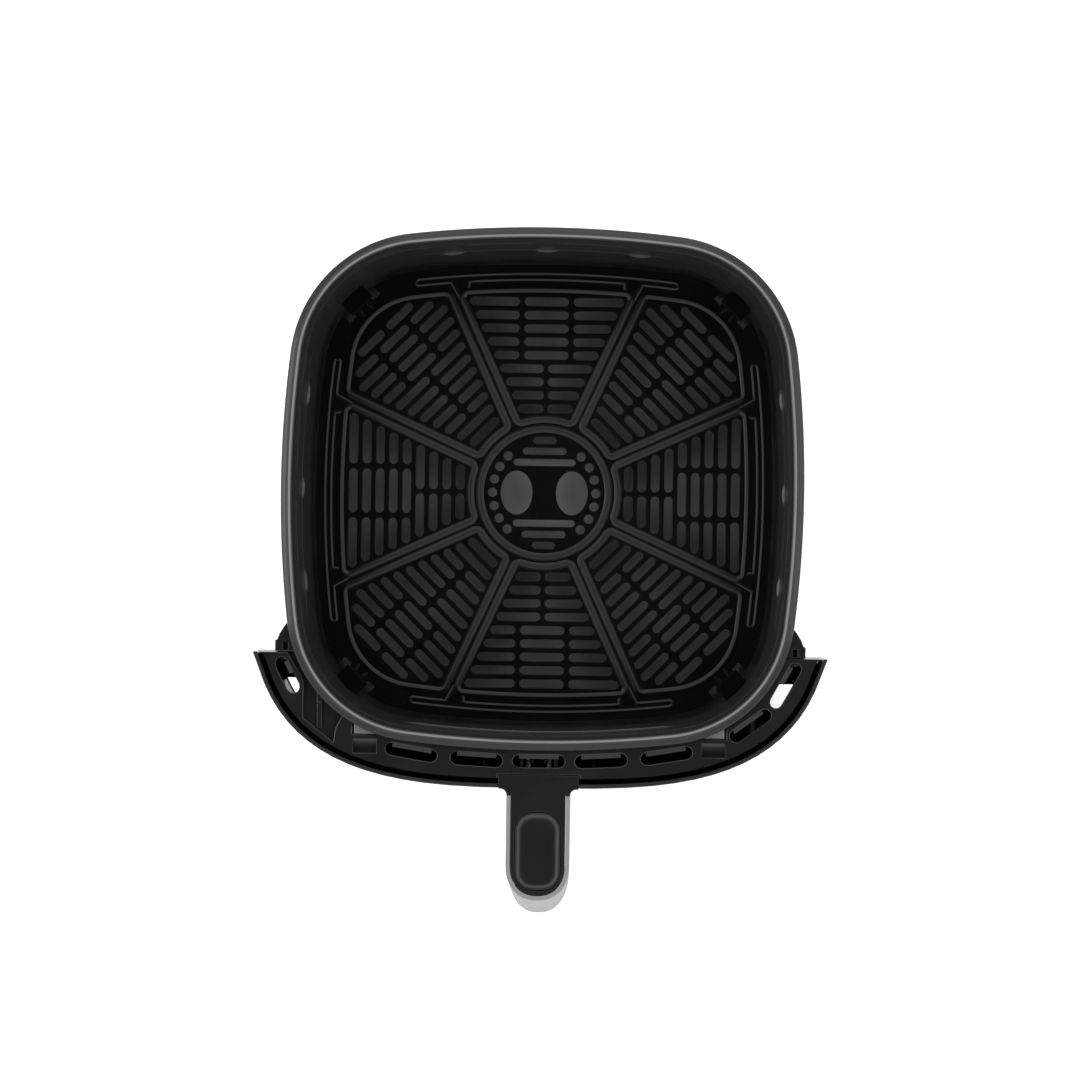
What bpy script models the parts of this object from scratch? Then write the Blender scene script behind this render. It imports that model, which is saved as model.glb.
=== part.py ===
"""The pull-out drawer of a small air fryer, built as separate pieces.

A coated steel pan hangs by its rim in a moulded front frame.  A curved fascia covers the frame, a
D-shaped handle is screwed to it, and a perforated crisper plate with four rubber bumpers lifts out of
the pan.  Units are metres, +Z is up, -Y is the handle side, and the origin is the centre of the pan's
base, on the surface that the drawer stands on.
"""

import math

import bmesh
import bpy
from mathutils import Matrix, Vector

MM = 0.001

# Pan: a square with bowed sides and large round corners, seen from above.
RIM_HEIGHT = 96.2 * MM
FLANGE_HALF = 125.0 * MM
FLANGE_CORNER = 64.7 * MM
SIDE_BOW = 545.0 * MM
SHEET = 1.2 * MM
WALL_TOP_HALF = 118.8 * MM
WALL_TOP_CORNER = 58.5 * MM
WALL_FOOT_HALF = 117.2 * MM
WALL_FOOT_CORNER = 53.0 * MM
FLOOR_FILLET = 13.0 * MM
PAN_DEPTH = 95.0 * MM

# Crisper plate.
PLATE_DEPTH = 80.0 * MM
PLATE_THICK = 1.0 * MM
PLATE_HALF = 114.0 * MM
PLATE_CORNER = 52.6 * MM
SLOT_WIDTH = 4.2 * MM
SLOT_GAP = 2.5 * MM
ROW_FIRST = 95.4 * MM
ROW_PITCH = 6.68 * MM
ROW_COUNT = 9
WIDE_ROWS = 5
MIDDLE_SLOT = 22.0 * MM
SECTOR_SLOPE = 0.4655
SECTOR_FOOT = 13.5 * MM
CORNER_ROW_FIRST = 113.6 * MM
CORNER_ROW_PITCH = 6.44 * MM
CORNER_ROW_COUNT = 12
CORNER_SLOT_WIDTH = 3.95 * MM
CORNER_SLOPE = 0.3624
CORNER_FOOT = 9.4 * MM
CORNER_MIDDLE_SLOT = 18.4 * MM
CORNER_ROW_LIMITS = (18.3 * MM, 26.3 * MM, 30.0 * MM)
HUB_HOLE_CIRCLE = 25.8 * MM
HUB_HOLE_RADIUS = 2.2 * MM
HUB_HOLE_STEP = 15.0
HUB_SLOT_WIDTH = 3.3 * MM
HUB_SLOTS = ((15.2 * MM, 30.9 * MM), (20.8 * MM, 21.7 * MM), (26.2 * MM, 11.4 * MM))
FINGER_HOLE = (13.8 * MM, 7.85 * MM, 10.95 * MM)

# Rubber bumpers, one on a tongue at each corner of the plate.
BUMPER_INNER = 129.9 * MM
BUMPER_OUTER = 137.5 * MM
BUMPER_WIDTH = 14.0 * MM
TONGUE_REACH = 134.3 * MM
TONGUE_HALF = 7.0 * MM
SLIT_OUTER = 10.5 * MM
SLIT_FOOT = 128.4 * MM
CLEARANCE = 0.3 * MM

# Front: the fascia's outline is a superellipse about a centre in front of the pan's middle.
FRONT_HALF_WIDTH = 140.4 * MM
FRONT_REACH = 116.1 * MM
FRONT_CENTRE_Y = -27.0 * MM
FRONT_POWER = 3.164
FRONT_END_Y = -79.5 * MM
FASCIA_THICK = 2.0 * MM
FASCIA_GAP = 2.7 * MM
FASCIA_BOTTOM = 4.0 * MM
FASCIA_CORNER = 38.0 * MM
SHELF_DEPTH = 5.0 * MM
SHELF_THICK = 3.0 * MM
SKIRT_THICK = 2.3 * MM
FRAME_INNER_HALF = 122.5 * MM
FRAME_INNER_CORNER = 62.2 * MM
FRAME_BOTTOM = RIM_HEIGHT - 50.0 * MM

# Handle.
HANDLE_HALF = 15.2 * MM
HANDLE_BACK = -146.7 * MM
HANDLE_TIP = -196.5 * MM
HANDLE_BOTTOM = 12.0 * MM
HANDLE_SPREAD = 1.277
HANDLE_WALL = 2.0 * MM
INSERT_THICK = 3.7 * MM
NOTCH_HALF = 19.6 * MM
NOTCH_DEPTH = 4.1 * MM
HANDLE_SCREW_X = 5.1 * MM
HANDLE_SCREW_HEIGHTS = {"upper": 83.7 * MM, "lower": 20.0 * MM}
SCREW_RADIUS = 1.5 * MM

SHELF_TOP = RIM_HEIGHT - SHELF_DEPTH
SHELF_UNDER = SHELF_TOP - SHELF_THICK
PLATE_TOP = RIM_HEIGHT - PLATE_DEPTH
FRONT_FACE_Y = FRONT_CENTRE_Y - FRONT_REACH
SKIRT_INSET = FASCIA_THICK + FASCIA_GAP


def material(name, colour, roughness, metallic=0.0):
    """A Principled material with one colour."""
    made = bpy.data.materials.new(name)
    made.use_nodes = True
    shader = made.node_tree.nodes["Principled BSDF"]
    shader.inputs["Base Color"].default_value = (*colour, 1.0)
    shader.inputs["Roughness"].default_value = roughness
    shader.inputs["Metallic"].default_value = metallic
    return made


def add_object(name, mesh):
    """A new object in the scene's collection, which `finish` moves to the drawer's own."""
    made = bpy.data.objects.new(name, mesh)
    bpy.context.scene.collection.objects.link(made)
    return made


def baked(obj):
    """The object with its modifiers or its curve turned into a plain welded mesh at the origin."""
    bpy.context.view_layer.update()
    graph = bpy.context.evaluated_depsgraph_get()
    mesh = bpy.data.meshes.new_from_object(obj.evaluated_get(graph))
    mesh.transform(obj.matrix_world)
    shape = bmesh.new()
    shape.from_mesh(mesh)
    bmesh.ops.remove_doubles(shape, verts=shape.verts, dist=0.001 * MM)
    bmesh.ops.recalc_face_normals(shape, faces=shape.faces)
    shape.to_mesh(mesh)
    shape.free()
    name = obj.name
    bpy.data.objects.remove(obj)
    return add_object(name, mesh)


def combine(target, tools, operation):
    """The target after an exact Boolean with each tool, which is then removed."""
    for tool in tools:
        step = target.modifiers.new(operation, "BOOLEAN")
        step.operation = operation
        step.solver = "EXACT"
        step.object = tool
        target = baked(target)
        bpy.data.objects.remove(tool)
    return target


def prism(name, loop, low, high, frame):
    """A prism on one closed outline."""
    shape = bmesh.new()
    base = [shape.verts.new((x, y, low)) for x, y in loop]
    top = [shape.verts.new((x, y, high)) for x, y in loop]
    shape.faces.new(base)
    shape.faces.new(top)
    for i in range(len(loop)):
        j = (i + 1) % len(loop)
        shape.faces.new((base[i], base[j], top[j], top[i]))
    bmesh.ops.remove_doubles(shape, verts=shape.verts, dist=0.001 * MM)
    bmesh.ops.recalc_face_normals(shape, faces=shape.faces)
    shape.transform(frame)
    mesh = bpy.data.meshes.new(name)
    shape.to_mesh(mesh)
    shape.free()
    return add_object(name, mesh)


def flat_solid(name, loops, low, high, frame=None):
    """A prism on 2D outlines (the first is the outer one), from `low` to `high` along its own Z."""
    if len(loops) == 1:
        return prism(name, loops[0], low, high, frame or Matrix())
    data = bpy.data.curves.new(name, "CURVE")
    data.dimensions = "2D"
    data.fill_mode = "BOTH"
    data.extrude = (high - low) / 2
    for loop in loops:
        spline = data.splines.new("POLY")
        spline.points.add(len(loop) - 1)
        spline.use_cyclic_u = True
        for point, (x, y) in zip(spline.points, loop):
            point.co = (x, y, 0.0, 1.0)
    made = add_object(name, data)
    made.matrix_world = (frame or Matrix()) @ Matrix.Translation((0, 0, (low + high) / 2))
    return baked(made)


def side_view():
    """The frame for outlines drawn as (Y, Z) and extruded along X."""
    return Matrix(((0, 0, 1, 0), (1, 0, 0, 0), (0, 1, 0, 0), (0, 0, 0, 1)))


def rectangle(x0, x1, y0, y1):
    """The four corners of a rectangle."""
    return [(x0, y0), (x1, y0), (x1, y1), (x0, y1)]


def box(name, x0, x1, y0, y1, z0, z1):
    """A plain block between two corners."""
    return flat_solid(name, [rectangle(x0, x1, y0, y1)], z0, z1)


def rod(name, start, end, radius, segments=12):
    """A cylinder between two points."""
    start, end = Vector(start), Vector(end)
    along = end - start
    shape = bmesh.new()
    place = Matrix.Translation((start + end) / 2) @ along.to_track_quat("Z", "Y").to_matrix().to_4x4()
    bmesh.ops.create_cone(shape, cap_ends=True, segments=segments, radius1=radius, radius2=radius,
                          depth=along.length, matrix=place)
    mesh = bpy.data.meshes.new(name)
    shape.to_mesh(mesh)
    shape.free()
    return add_object(name, mesh)


def arc(centre, radius, start, end, count):
    """Points along an arc, in degrees, ends included."""
    angles = [math.radians(start + (end - start) * i / count) for i in range(count + 1)]
    return [(centre[0] + radius * math.cos(a), centre[1] + radius * math.sin(a)) for a in angles]


def stadium(x, y, length, width, angle=0.0, count=3):
    """A slot with round ends about (x, y), its long side turned by `angle` degrees."""
    radius = width / 2
    reach = length / 2 - radius
    points = arc((reach, 0), radius, -90, 90, count) + arc((-reach, 0), radius, 90, 270, count)
    c, s = math.cos(math.radians(angle)), math.sin(math.radians(angle))
    return [(x + c * u - s * v, y + s * u + c * v) for u, v in points]


def bowed_square(half, corner, side_steps=6, corner_steps=6):
    """A square with outward-bowed sides and round corners, from the middle of the +X side."""
    turn = math.pi / 4 + math.asin((half - SIDE_BOW) / (math.sqrt(2) * (SIDE_BOW - corner)))
    centre = half - SIDE_BOW + (SIDE_BOW - corner) * math.cos(turn)
    turn = math.degrees(turn)
    side = arc((half - SIDE_BOW, 0), SIDE_BOW, 0, turn, side_steps)
    bend = arc((centre, centre), corner, turn, 45, corner_steps)[1:]
    octant = side + bend
    quarter = octant + [(y, x) for x, y in reversed(octant[:-1])]
    points = []
    for c, s in ((1, 0), (0, 1), (-1, 0), (0, -1)):
        points += [(c * x - s * y, s * x + c * y) for x, y in quarter[:-1]]
    return points


def crossing(points, value, axis=1):
    """The other coordinate where a line of points first passes `value` on one axis."""
    for near, far in zip(points, points[1:]):
        if min(near[axis], far[axis]) <= value <= max(near[axis], far[axis]):
            part = (value - near[axis]) / (far[axis] - near[axis])
            return near[1 - axis] + (far[1 - axis] - near[1 - axis]) * part
    raise ValueError("the line doesn't reach that value")


def front_point(angle, inset):
    """A point of the fascia's outline moved inwards by `inset`, at a superellipse angle."""
    def on_curve(a):
        c, s = math.cos(a), math.sin(a)
        x = FRONT_HALF_WIDTH * math.copysign(abs(c) ** (2 / FRONT_POWER), c)
        return Vector((x, FRONT_CENTRE_Y - FRONT_REACH * abs(s) ** (2 / FRONT_POWER)))

    small = 1e-3
    along = (on_curve(angle + small) - on_curve(angle - small)).normalized()
    normal = Vector((-along.y, along.x))
    point = on_curve(angle)
    if normal.dot(Vector((0, FRONT_CENTRE_Y)) - point) < 0:
        normal = -normal
    return point + normal * inset, normal


def front_outline(inset, steps=38):
    """The fascia's outline from its right end round the front to its left end."""
    points = []
    for i in range(steps + 1):
        angle = math.radians(8 + 164 * i / steps)
        point, _ = front_point(angle, inset)
        if point.y < FRONT_END_Y - 0.5 * MM:
            points.append(point)
    ends = []
    for near, far in ((points[0], points[1]), (points[-1], points[-2])):
        slope = (near.x - far.x) / (near.y - far.y)
        ends.append((near.x + slope * (FRONT_END_Y - near.y), FRONT_END_Y))
    return [ends[0]] + [tuple(p) for p in points] + [ends[1]]


def pan_front(half, corner):
    """The front run of a bowed square, from its left side at the fascia's end to its right side."""
    ring = bowed_square(half, corner)
    lower_right = [p for p in ring if p[0] > 0 and p[1] < 0]
    end = crossing(lower_right, FRONT_END_Y)
    run = sorted((p for p in ring if p[1] < FRONT_END_Y - 0.5 * MM), key=lambda p: math.atan2(p[0], -p[1]))
    return [(-end, FRONT_END_Y)] + run + [(end, FRONT_END_Y)]


# --- Pan -----------------------------------------------------------------------------------------


def make_pan():
    """One deep-drawn sheet: rolled rim, steep wall, round foot and flat floor."""
    levels = [
        (FLANGE_HALF, FLANGE_CORNER, -4.2 * MM),
        (FLANGE_HALF - 0.4 * MM, FLANGE_CORNER - 0.4 * MM, -2.4 * MM),
        (FLANGE_HALF - 2.4 * MM, FLANGE_CORNER - 2.4 * MM, -1.2 * MM),
        (FLANGE_HALF - 4.2 * MM, FLANGE_CORNER - 4.2 * MM, 0.0),
        (FLANGE_HALF - 5.6 * MM, FLANGE_CORNER - 5.6 * MM, -1.0 * MM),
        (WALL_TOP_HALF, WALL_TOP_CORNER, -4.0 * MM),
        (WALL_FOOT_HALF, WALL_FOOT_CORNER, FLOOR_FILLET - PAN_DEPTH),
    ]
    for degrees in (24, 48, 70, 90):
        a = math.radians(degrees)
        drawn_in = FLOOR_FILLET * (1 - math.cos(a))
        level = FLOOR_FILLET * (1 - math.sin(a)) - PAN_DEPTH
        levels.append((WALL_FOOT_HALF - drawn_in, WALL_FOOT_CORNER - drawn_in, level))
    shape = bmesh.new()
    rings = []
    for half, corner, z in levels:
        points = bowed_square(half, corner, 4, 6)
        rings.append([shape.verts.new((x, y, RIM_HEIGHT + z)) for x, y in points])
    for outer, inner in zip(rings, rings[1:]):
        for i in range(len(outer)):
            j = (i + 1) % len(outer)
            shape.faces.new((outer[i], outer[j], inner[j], inner[i]))
    shape.faces.new(rings[-1])
    mesh = bpy.data.meshes.new("pan")
    shape.to_mesh(mesh)
    shape.free()
    pan = add_object("pan", mesh)
    wall = pan.modifiers.new("sheet", "SOLIDIFY")
    wall.thickness = SHEET
    wall.offset = -1
    return pan


# --- Crisper plate -------------------------------------------------------------------------------


def sector_slots():
    """The slots of the +Y sector: nine rows, in threes on the wide rows and in pairs on the rest."""
    loops = []
    for row in range(ROW_COUNT):
        y = ROW_FIRST - ROW_PITCH * row
        end = SECTOR_FOOT + SECTOR_SLOPE * (y - ROW_FIRST + ROW_PITCH * (ROW_COUNT - 1))
        start = MIDDLE_SLOT / 2 + SLOT_GAP if row < WIDE_ROWS else SLOT_GAP / 2
        if row < WIDE_ROWS:
            loops.append(stadium(0, y, MIDDLE_SLOT, SLOT_WIDTH))
        for side in (-1, 1):
            loops.append(stadium(side * (start + end) / 2, y, end - start, SLOT_WIDTH))
    return loops


def corner_slots():
    """The slots of the +X+Y sector, drawn with its diagonal along +Y."""
    loops = []
    for row in range(CORNER_ROW_COUNT):
        y = CORNER_ROW_FIRST - CORNER_ROW_PITCH * row
        end = CORNER_FOOT + CORNER_SLOPE * (y - CORNER_ROW_FIRST + CORNER_ROW_PITCH * (CORNER_ROW_COUNT - 1))
        if row < len(CORNER_ROW_LIMITS):
            end = CORNER_ROW_LIMITS[row]
        if row >= CORNER_ROW_COUNT - 2:
            loops.append(stadium(0, y, 2 * end, CORNER_SLOT_WIDTH))
            continue
        threes = 1 <= row <= 4
        start = CORNER_MIDDLE_SLOT / 2 + SLOT_GAP if threes else SLOT_GAP / 2
        if threes:
            loops.append(stadium(0, y, CORNER_MIDDLE_SLOT, CORNER_SLOT_WIDTH))
        for side in (-1, 1):
            loops.append(stadium(side * (start + end) / 2, y, end - start, CORNER_SLOT_WIDTH))
    return loops


def hub_holes():
    """The middle: two finger holes, six short slots and two arcs of round holes."""
    x, half_width, half_height = FINGER_HOLE
    loops = []
    for side in (-1, 1):
        loops.append([(side * x + half_width * u, half_height * v) for u, v in arc((0, 0), 1, 0, 345, 23)])
        for y, length in HUB_SLOTS:
            loops.append(stadium(0, side * y, length, HUB_SLOT_WIDTH))
        for step in range(-3, 4):
            angle = math.radians(HUB_HOLE_STEP * step) + (0 if side > 0 else math.pi)
            centre = (HUB_HOLE_CIRCLE * math.cos(angle), HUB_HOLE_CIRCLE * math.sin(angle))
            loops.append(arc(centre, HUB_HOLE_RADIUS, 0, 315, 7))
    return loops


def turned(loop, angle):
    """A loop turned about the plate's middle by `angle` degrees."""
    c, s = math.cos(math.radians(angle)), math.sin(math.radians(angle))
    return [(c * x - s * y, s * x + c * y) for x, y in loop]


def plate_outline():
    """The plate's edge, with a tongue between two slits at each corner."""
    ring = bowed_square(PLATE_HALF, PLATE_CORNER)
    outline = []
    for quarter in range(4):
        middle = 45 + 90 * quarter
        across = [turned([p], -middle)[0] for p in ring]
        edge = sorted((p for p in across if p[0] > 0 and abs(p[1]) < p[0]), key=lambda p: p[1])
        before = [p for p in edge if p[1] < -SLIT_OUTER - 0.5 * MM]
        slit = [(crossing(edge, -SLIT_OUTER), -SLIT_OUTER), (SLIT_FOOT, -SLIT_OUTER),
                (SLIT_FOOT, -TONGUE_HALF), (TONGUE_REACH, -TONGUE_HALF)]
        mirrored = [(x, -y) for x, y in reversed(before + slit)]
        outline += turned(before + slit + mirrored, middle)
    return outline


def make_plate():
    """The perforated plate: four straight sectors, four corner sectors and the hub."""
    holes = hub_holes()
    for quarter in range(4):
        holes += [turned(loop, 90 * quarter) for loop in sector_slots()]
        holes += [turned(loop, 90 * quarter - 45) for loop in corner_slots()]
    return flat_solid("crisper_plate", [plate_outline()] + holes, PLATE_TOP - PLATE_THICK, PLATE_TOP)


def make_bumper(name, angle):
    """A rubber clip round the tongue at the corner that lies at `angle` degrees."""
    slot_end = TONGUE_REACH + CLEARANCE
    top, lip, foot = PLATE_TOP + 1.5 * MM, PLATE_TOP + CLEARANCE, PLATE_TOP - 2.6 * MM
    under = PLATE_TOP - PLATE_THICK - CLEARANCE
    profile = [
        (BUMPER_INNER, lip), (slot_end, lip), (slot_end, under), (BUMPER_INNER, under),
        (BUMPER_INNER, foot), (BUMPER_OUTER - 1.2 * MM, foot), (BUMPER_OUTER, foot + 1.2 * MM),
        (BUMPER_OUTER, top - 0.4 * MM), (BUMPER_OUTER - 0.4 * MM, top), (BUMPER_INNER + 0.4 * MM, top),
        (BUMPER_INNER, top - 0.4 * MM),
    ]
    along = Vector((math.cos(math.radians(angle)), math.sin(math.radians(angle)), 0))
    across = along.cross(Vector((0, 0, 1)))
    frame = Matrix((along, (0, 0, 1), across)).transposed().to_4x4()
    return flat_solid(name, [profile], -BUMPER_WIDTH / 2, BUMPER_WIDTH / 2, frame)


# --- Front frame, fascia and their fixings --------------------------------------------------------

# Shelf openings as (x, y, length, width, angle); those named "both" are mirrored to the left side.
SHELF_SLOTS = {
    "both": ((29.8, -129.5, 25.0, 6.2, 3.4), (61.0, -126.6, 25.0, 6.0, 9.4)),
    "middle": ((0.0, -130.0, 25.0, 6.0, 0.0),),
    "right": ((100.9, -111.7, 23.0, 6.2, 36.0), (117.4, -92.4, 24.0, 5.9, 60.9)),
    "left": ((-120.6, -90.5, 18.7, 6.2, 116.2),),
}
SQUARE_HOLE = (77.8 * MM, 88.8 * MM, -127.1 * MM, -120.6 * MM)
SQUARE_STEP = -124.4 * MM
TAB_POCKET = (77.3 * MM, 89.5 * MM, -118.4 * MM, -100.0 * MM)
POCKET_EDGE = ((-121.1, -79.0), (-113.7, -90.8), (-112.8, -93.9), (-112.8, -110.9), (-98.4, -122.1),
               (-97.5, -115.8), (-93.6, -108.2), (-84.0, -98.0), (-110.0, -72.0))
POCKET_DEPTH = 2.8 * MM
RIB_PLACES = (14.8 * MM, 45.5 * MM, 75.6 * MM, 102.2 * MM)
FRAME_FLOOR = 2.0 * MM
LEDGE = (13.0 * MM, 9.6 * MM)
LEDGE_REACH = 5.45 * MM
DRAIN_X = 112.0 * MM
DRAIN_Y = (-106.0 * MM, -93.0 * MM)
GAP_RIB = (60.0 * MM, 61.6 * MM)
SCREW_WALL = (-128.2 * MM, -127.0 * MM)
END_FLANGE = 0.9 * MM
BRACKET_X = 83.4 * MM
BRACKET_SCREW_Y = -121.2 * MM
FASCIA_SCREWS = (62.0, 47.0)
FASCIA_SCREW_HEIGHT = 54.0 * MM
GUIDE_SCREW = (123.4 * MM, 76.0 * MM)


def skirt(name, inset, thickness, low, high):
    """A curved wall that follows the front outline."""
    loop = front_outline(inset) + list(reversed(front_outline(inset + thickness)))
    return flat_solid(name, [loop], low, high)


def shelf_slots():
    """The loops of the shelf's round-ended and square openings."""
    rows = [(*row, 1) for row in SHELF_SLOTS["middle"] + SHELF_SLOTS["right"] + SHELF_SLOTS["left"]]
    rows += [(*row, side) for row in SHELF_SLOTS["both"] for side in (1, -1)]
    loops = []
    for x, y, length, width, angle, side in rows:
        loops.append(stadium(side * x * MM, y * MM, length * MM, width * MM, side * angle, 5))
    x0, x1, y0, _ = SQUARE_HOLE
    loops.append(rectangle(x0, x1, y0, SQUARE_STEP))
    loops.append(rectangle(-x1, -x0, y0, SQUARE_STEP))
    return loops


def fascia_screw_line(step, side):
    """A point of the fascia's outline and the inward normal there, on one side."""
    point, normal = front_point(math.radians(step), 0.0)
    return Vector((side * point.x, point.y)), Vector((side * normal.x, normal.y))


def behind(point, normal, inset, height):
    """The 3D point at a depth behind the fascia's outline."""
    place = point + normal * inset
    return (place.x, place.y, height)


def frame_outline():
    """The frame seen from above: front outline, a flange at each end, and the pan's side."""
    front = front_outline(SKIRT_INSET)
    outer_x = crossing(front_outline(FASCIA_THICK + CLEARANCE), FRONT_END_Y - END_FLANGE)
    inner_x = crossing(front, FRONT_END_Y - END_FLANGE)
    front = [p for p in front if p[1] < FRONT_END_Y - END_FLANGE - 0.2 * MM]
    flange = [(outer_x, FRONT_END_Y), (outer_x, FRONT_END_Y - END_FLANGE), (inner_x, FRONT_END_Y - END_FLANGE)]
    mirrored = [(-x, y) for x, y in reversed(flange)]
    return flange + front + mirrored + pan_front(FRAME_INNER_HALF, FRAME_INNER_CORNER)


def hollow_loop(inset):
    """The inside of the frame's two skirts seen from above, drawn in by an inset."""
    thick = SKIRT_THICK + inset
    return front_outline(SKIRT_INSET + thick) + pan_front(FRAME_INNER_HALF + thick, FRAME_INNER_CORNER + thick)


def frame_drains():
    """The openings in the frame's floor: one near each end and one under each bracket screw."""
    drains = []
    for side in (-1, 1):
        drain = flat_solid("drain", [hollow_loop(0.5 * MM)], FRAME_BOTTOM - 5 * MM, FRAME_BOTTOM + FRAME_FLOOR + 1 * MM)
        near, far = sorted((side * DRAIN_X, side * 150 * MM))
        drains.append(combine(drain, [box("span", near, far, *DRAIN_Y, 0, RIM_HEIGHT)], "INTERSECT"))
        x = side * BRACKET_X
        drains.append(rod("access", (x, BRACKET_SCREW_Y, FRAME_BOTTOM - 5 * MM),
                          (x, BRACKET_SCREW_Y, FRAME_BOTTOM + FRAME_FLOOR + 1 * MM), 4.2 * MM))
    return drains


def frame_hollow():
    """The space inside the frame and its drains, with ribs, bosses, the ledge and thick places left out."""
    hollow = flat_solid("hollow", [hollow_loop(0.0)], FRAME_BOTTOM + FRAME_FLOOR, SHELF_UNDER)
    keep = []
    for side in (-1, 1):
        near, far = sorted((side * 110 * MM, side * 140 * MM))
        keep.append(box("end_wall", near, far, FRONT_END_Y - 2 * MM, FRONT_END_Y + 5 * MM, 0, RIM_HEIGHT))
        for place in RIB_PLACES:
            x = side * place
            keep.append(box("rib", x - 0.9 * MM, x + 0.9 * MM, -150 * MM, -90 * MM, RIM_HEIGHT - 36 * MM,
                            RIM_HEIGHT))
        near, far = sorted((side * 7.4 * MM, side * 9.0 * MM))
        keep.append(box("guide_rib", near, far, -150 * MM, -127.6 * MM, RIM_HEIGHT - 14 * MM, RIM_HEIGHT))
        near, far = sorted((side * 2.5 * MM, side * 3.5 * MM))
        keep.append(box("cheek", near, far, -131.2 * MM, -127.6 * MM, RIM_HEIGHT - 16 * MM, RIM_HEIGHT))
        near, far = sorted((side * 25.8 * MM, side * 27.0 * MM))
        keep.append(box("short_rib", near, far, -150 * MM, -130.4 * MM, RIM_HEIGHT - 30 * MM, RIM_HEIGHT - 13 * MM))
        x = side * BRACKET_X
        boss = rod("boss", (x, BRACKET_SCREW_Y, RIM_HEIGHT - 24 * MM), (x, BRACKET_SCREW_Y, RIM_HEIGHT - 10.6 * MM),
                   4.4 * MM)
        web = box("web", x - 1 * MM, x + 1 * MM, -150 * MM, BRACKET_SCREW_Y - 2 * MM, RIM_HEIGHT - 22 * MM,
                  RIM_HEIGHT - 11.6 * MM)
        keep.append(combine(boss, [web], "UNION"))
    keep.append(box("screw_wall", -16 * MM, 16 * MM, *SCREW_WALL, RIM_HEIGHT - 20 * MM, RIM_HEIGHT))
    ledge = pan_front(FRAME_INNER_HALF + 1 * MM, FRAME_INNER_CORNER + 1 * MM)
    ledge += list(reversed(pan_front(FRAME_INNER_HALF + LEDGE_REACH, FRAME_INNER_CORNER + LEDGE_REACH)))
    keep.append(flat_solid("ledge", [ledge], SHELF_UNDER - LEDGE[0], SHELF_UNDER - LEDGE[1]))
    under_pocket = [(x * MM + (-1.2 if x < -100 else 1.2) * MM, y * MM - 1.2 * MM) for x, y in POCKET_EDGE]
    keep.append(flat_solid("pocket_floor", [under_pocket], SHELF_TOP - POCKET_DEPTH - 2.4 * MM, RIM_HEIGHT))
    return combine(combine(hollow, keep, "DIFFERENCE"), frame_drains(), "UNION")


def gap_rib():
    """The rib that closes the gap between the frame and the fascia, either side of the handle's plate."""
    rib = skirt("gap_rib", FASCIA_THICK + CLEARANCE, SKIRT_INSET - FASCIA_THICK - CLEARANCE + 0.6 * MM, *GAP_RIB)
    cuts = [box("middle", -13.7 * MM, 13.7 * MM, -160 * MM, -120 * MM, 0, RIM_HEIGHT),
            box("ends", -160 * MM, 160 * MM, FRONT_END_Y - 2.2 * MM, FRONT_END_Y + 20 * MM, 0, RIM_HEIGHT)]
    return combine(rib, cuts, "DIFFERENCE")


def make_front_frame():
    """The moulded frame: slotted shelf, two skirts, floor, ribs, end walls and screw bosses."""
    frame = combine(flat_solid("front_frame", [frame_outline()], FRAME_BOTTOM, SHELF_TOP), [gap_rib()], "UNION")
    cuts = [flat_solid("slots", shelf_slots(), SHELF_UNDER - 0.5 * MM, SHELF_TOP + 1 * MM), frame_hollow()]
    pocket = [(x * MM, y * MM) for x, y in POCKET_EDGE]
    cuts.append(flat_solid("pocket", [pocket], SHELF_TOP - POCKET_DEPTH, SHELF_TOP + 1 * MM))
    cuts.append(box("notch", -NOTCH_HALF, NOTCH_HALF, -150 * MM, -136.5 * MM, SHELF_TOP - NOTCH_DEPTH, RIM_HEIGHT))
    for side in (-1, 1):
        x0, x1, y0, y1 = TAB_POCKET
        near, far = sorted((side * x0, side * x1))
        cuts.append(box("tab", near, far, y0, y1, FRAME_BOTTOM + FRAME_FLOOR + 0.4 * MM, RIM_HEIGHT))
        x0, x1, _, y1 = SQUARE_HOLE
        near, far = sorted((side * x0, side * x1))
        cuts.append(box("step", near, far, SQUARE_STEP - 0.4 * MM, y1, SHELF_TOP - 1.6 * MM, RIM_HEIGHT))
        x = side * BRACKET_X
        cuts.append(rod("bore", (x, BRACKET_SCREW_Y, RIM_HEIGHT - 30 * MM), (x, BRACKET_SCREW_Y, RIM_HEIGHT - 9 * MM),
                        2.1 * MM))
        x, height = side * HANDLE_SCREW_X, HANDLE_SCREW_HEIGHTS["upper"]
        cuts.append(rod("bore", (x, -146 * MM, height), (x, -126 * MM, height), SCREW_RADIUS + 0.4 * MM))
        x, height = side * GUIDE_SCREW[0], GUIDE_SCREW[1]
        cuts.append(rod("bore", (x, -86 * MM, height), (x, -76 * MM, height), SCREW_RADIUS + 0.4 * MM))
        for step in FASCIA_SCREWS:
            point, normal = fascia_screw_line(step, side)
            cuts.append(rod("bore", behind(point, normal, SKIRT_INSET - 1 * MM, FASCIA_SCREW_HEIGHT),
                            behind(point, normal, SKIRT_INSET + 4 * MM, FASCIA_SCREW_HEIGHT), SCREW_RADIUS + 0.4 * MM))
    return combine(frame, cuts, "DIFFERENCE")


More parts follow.
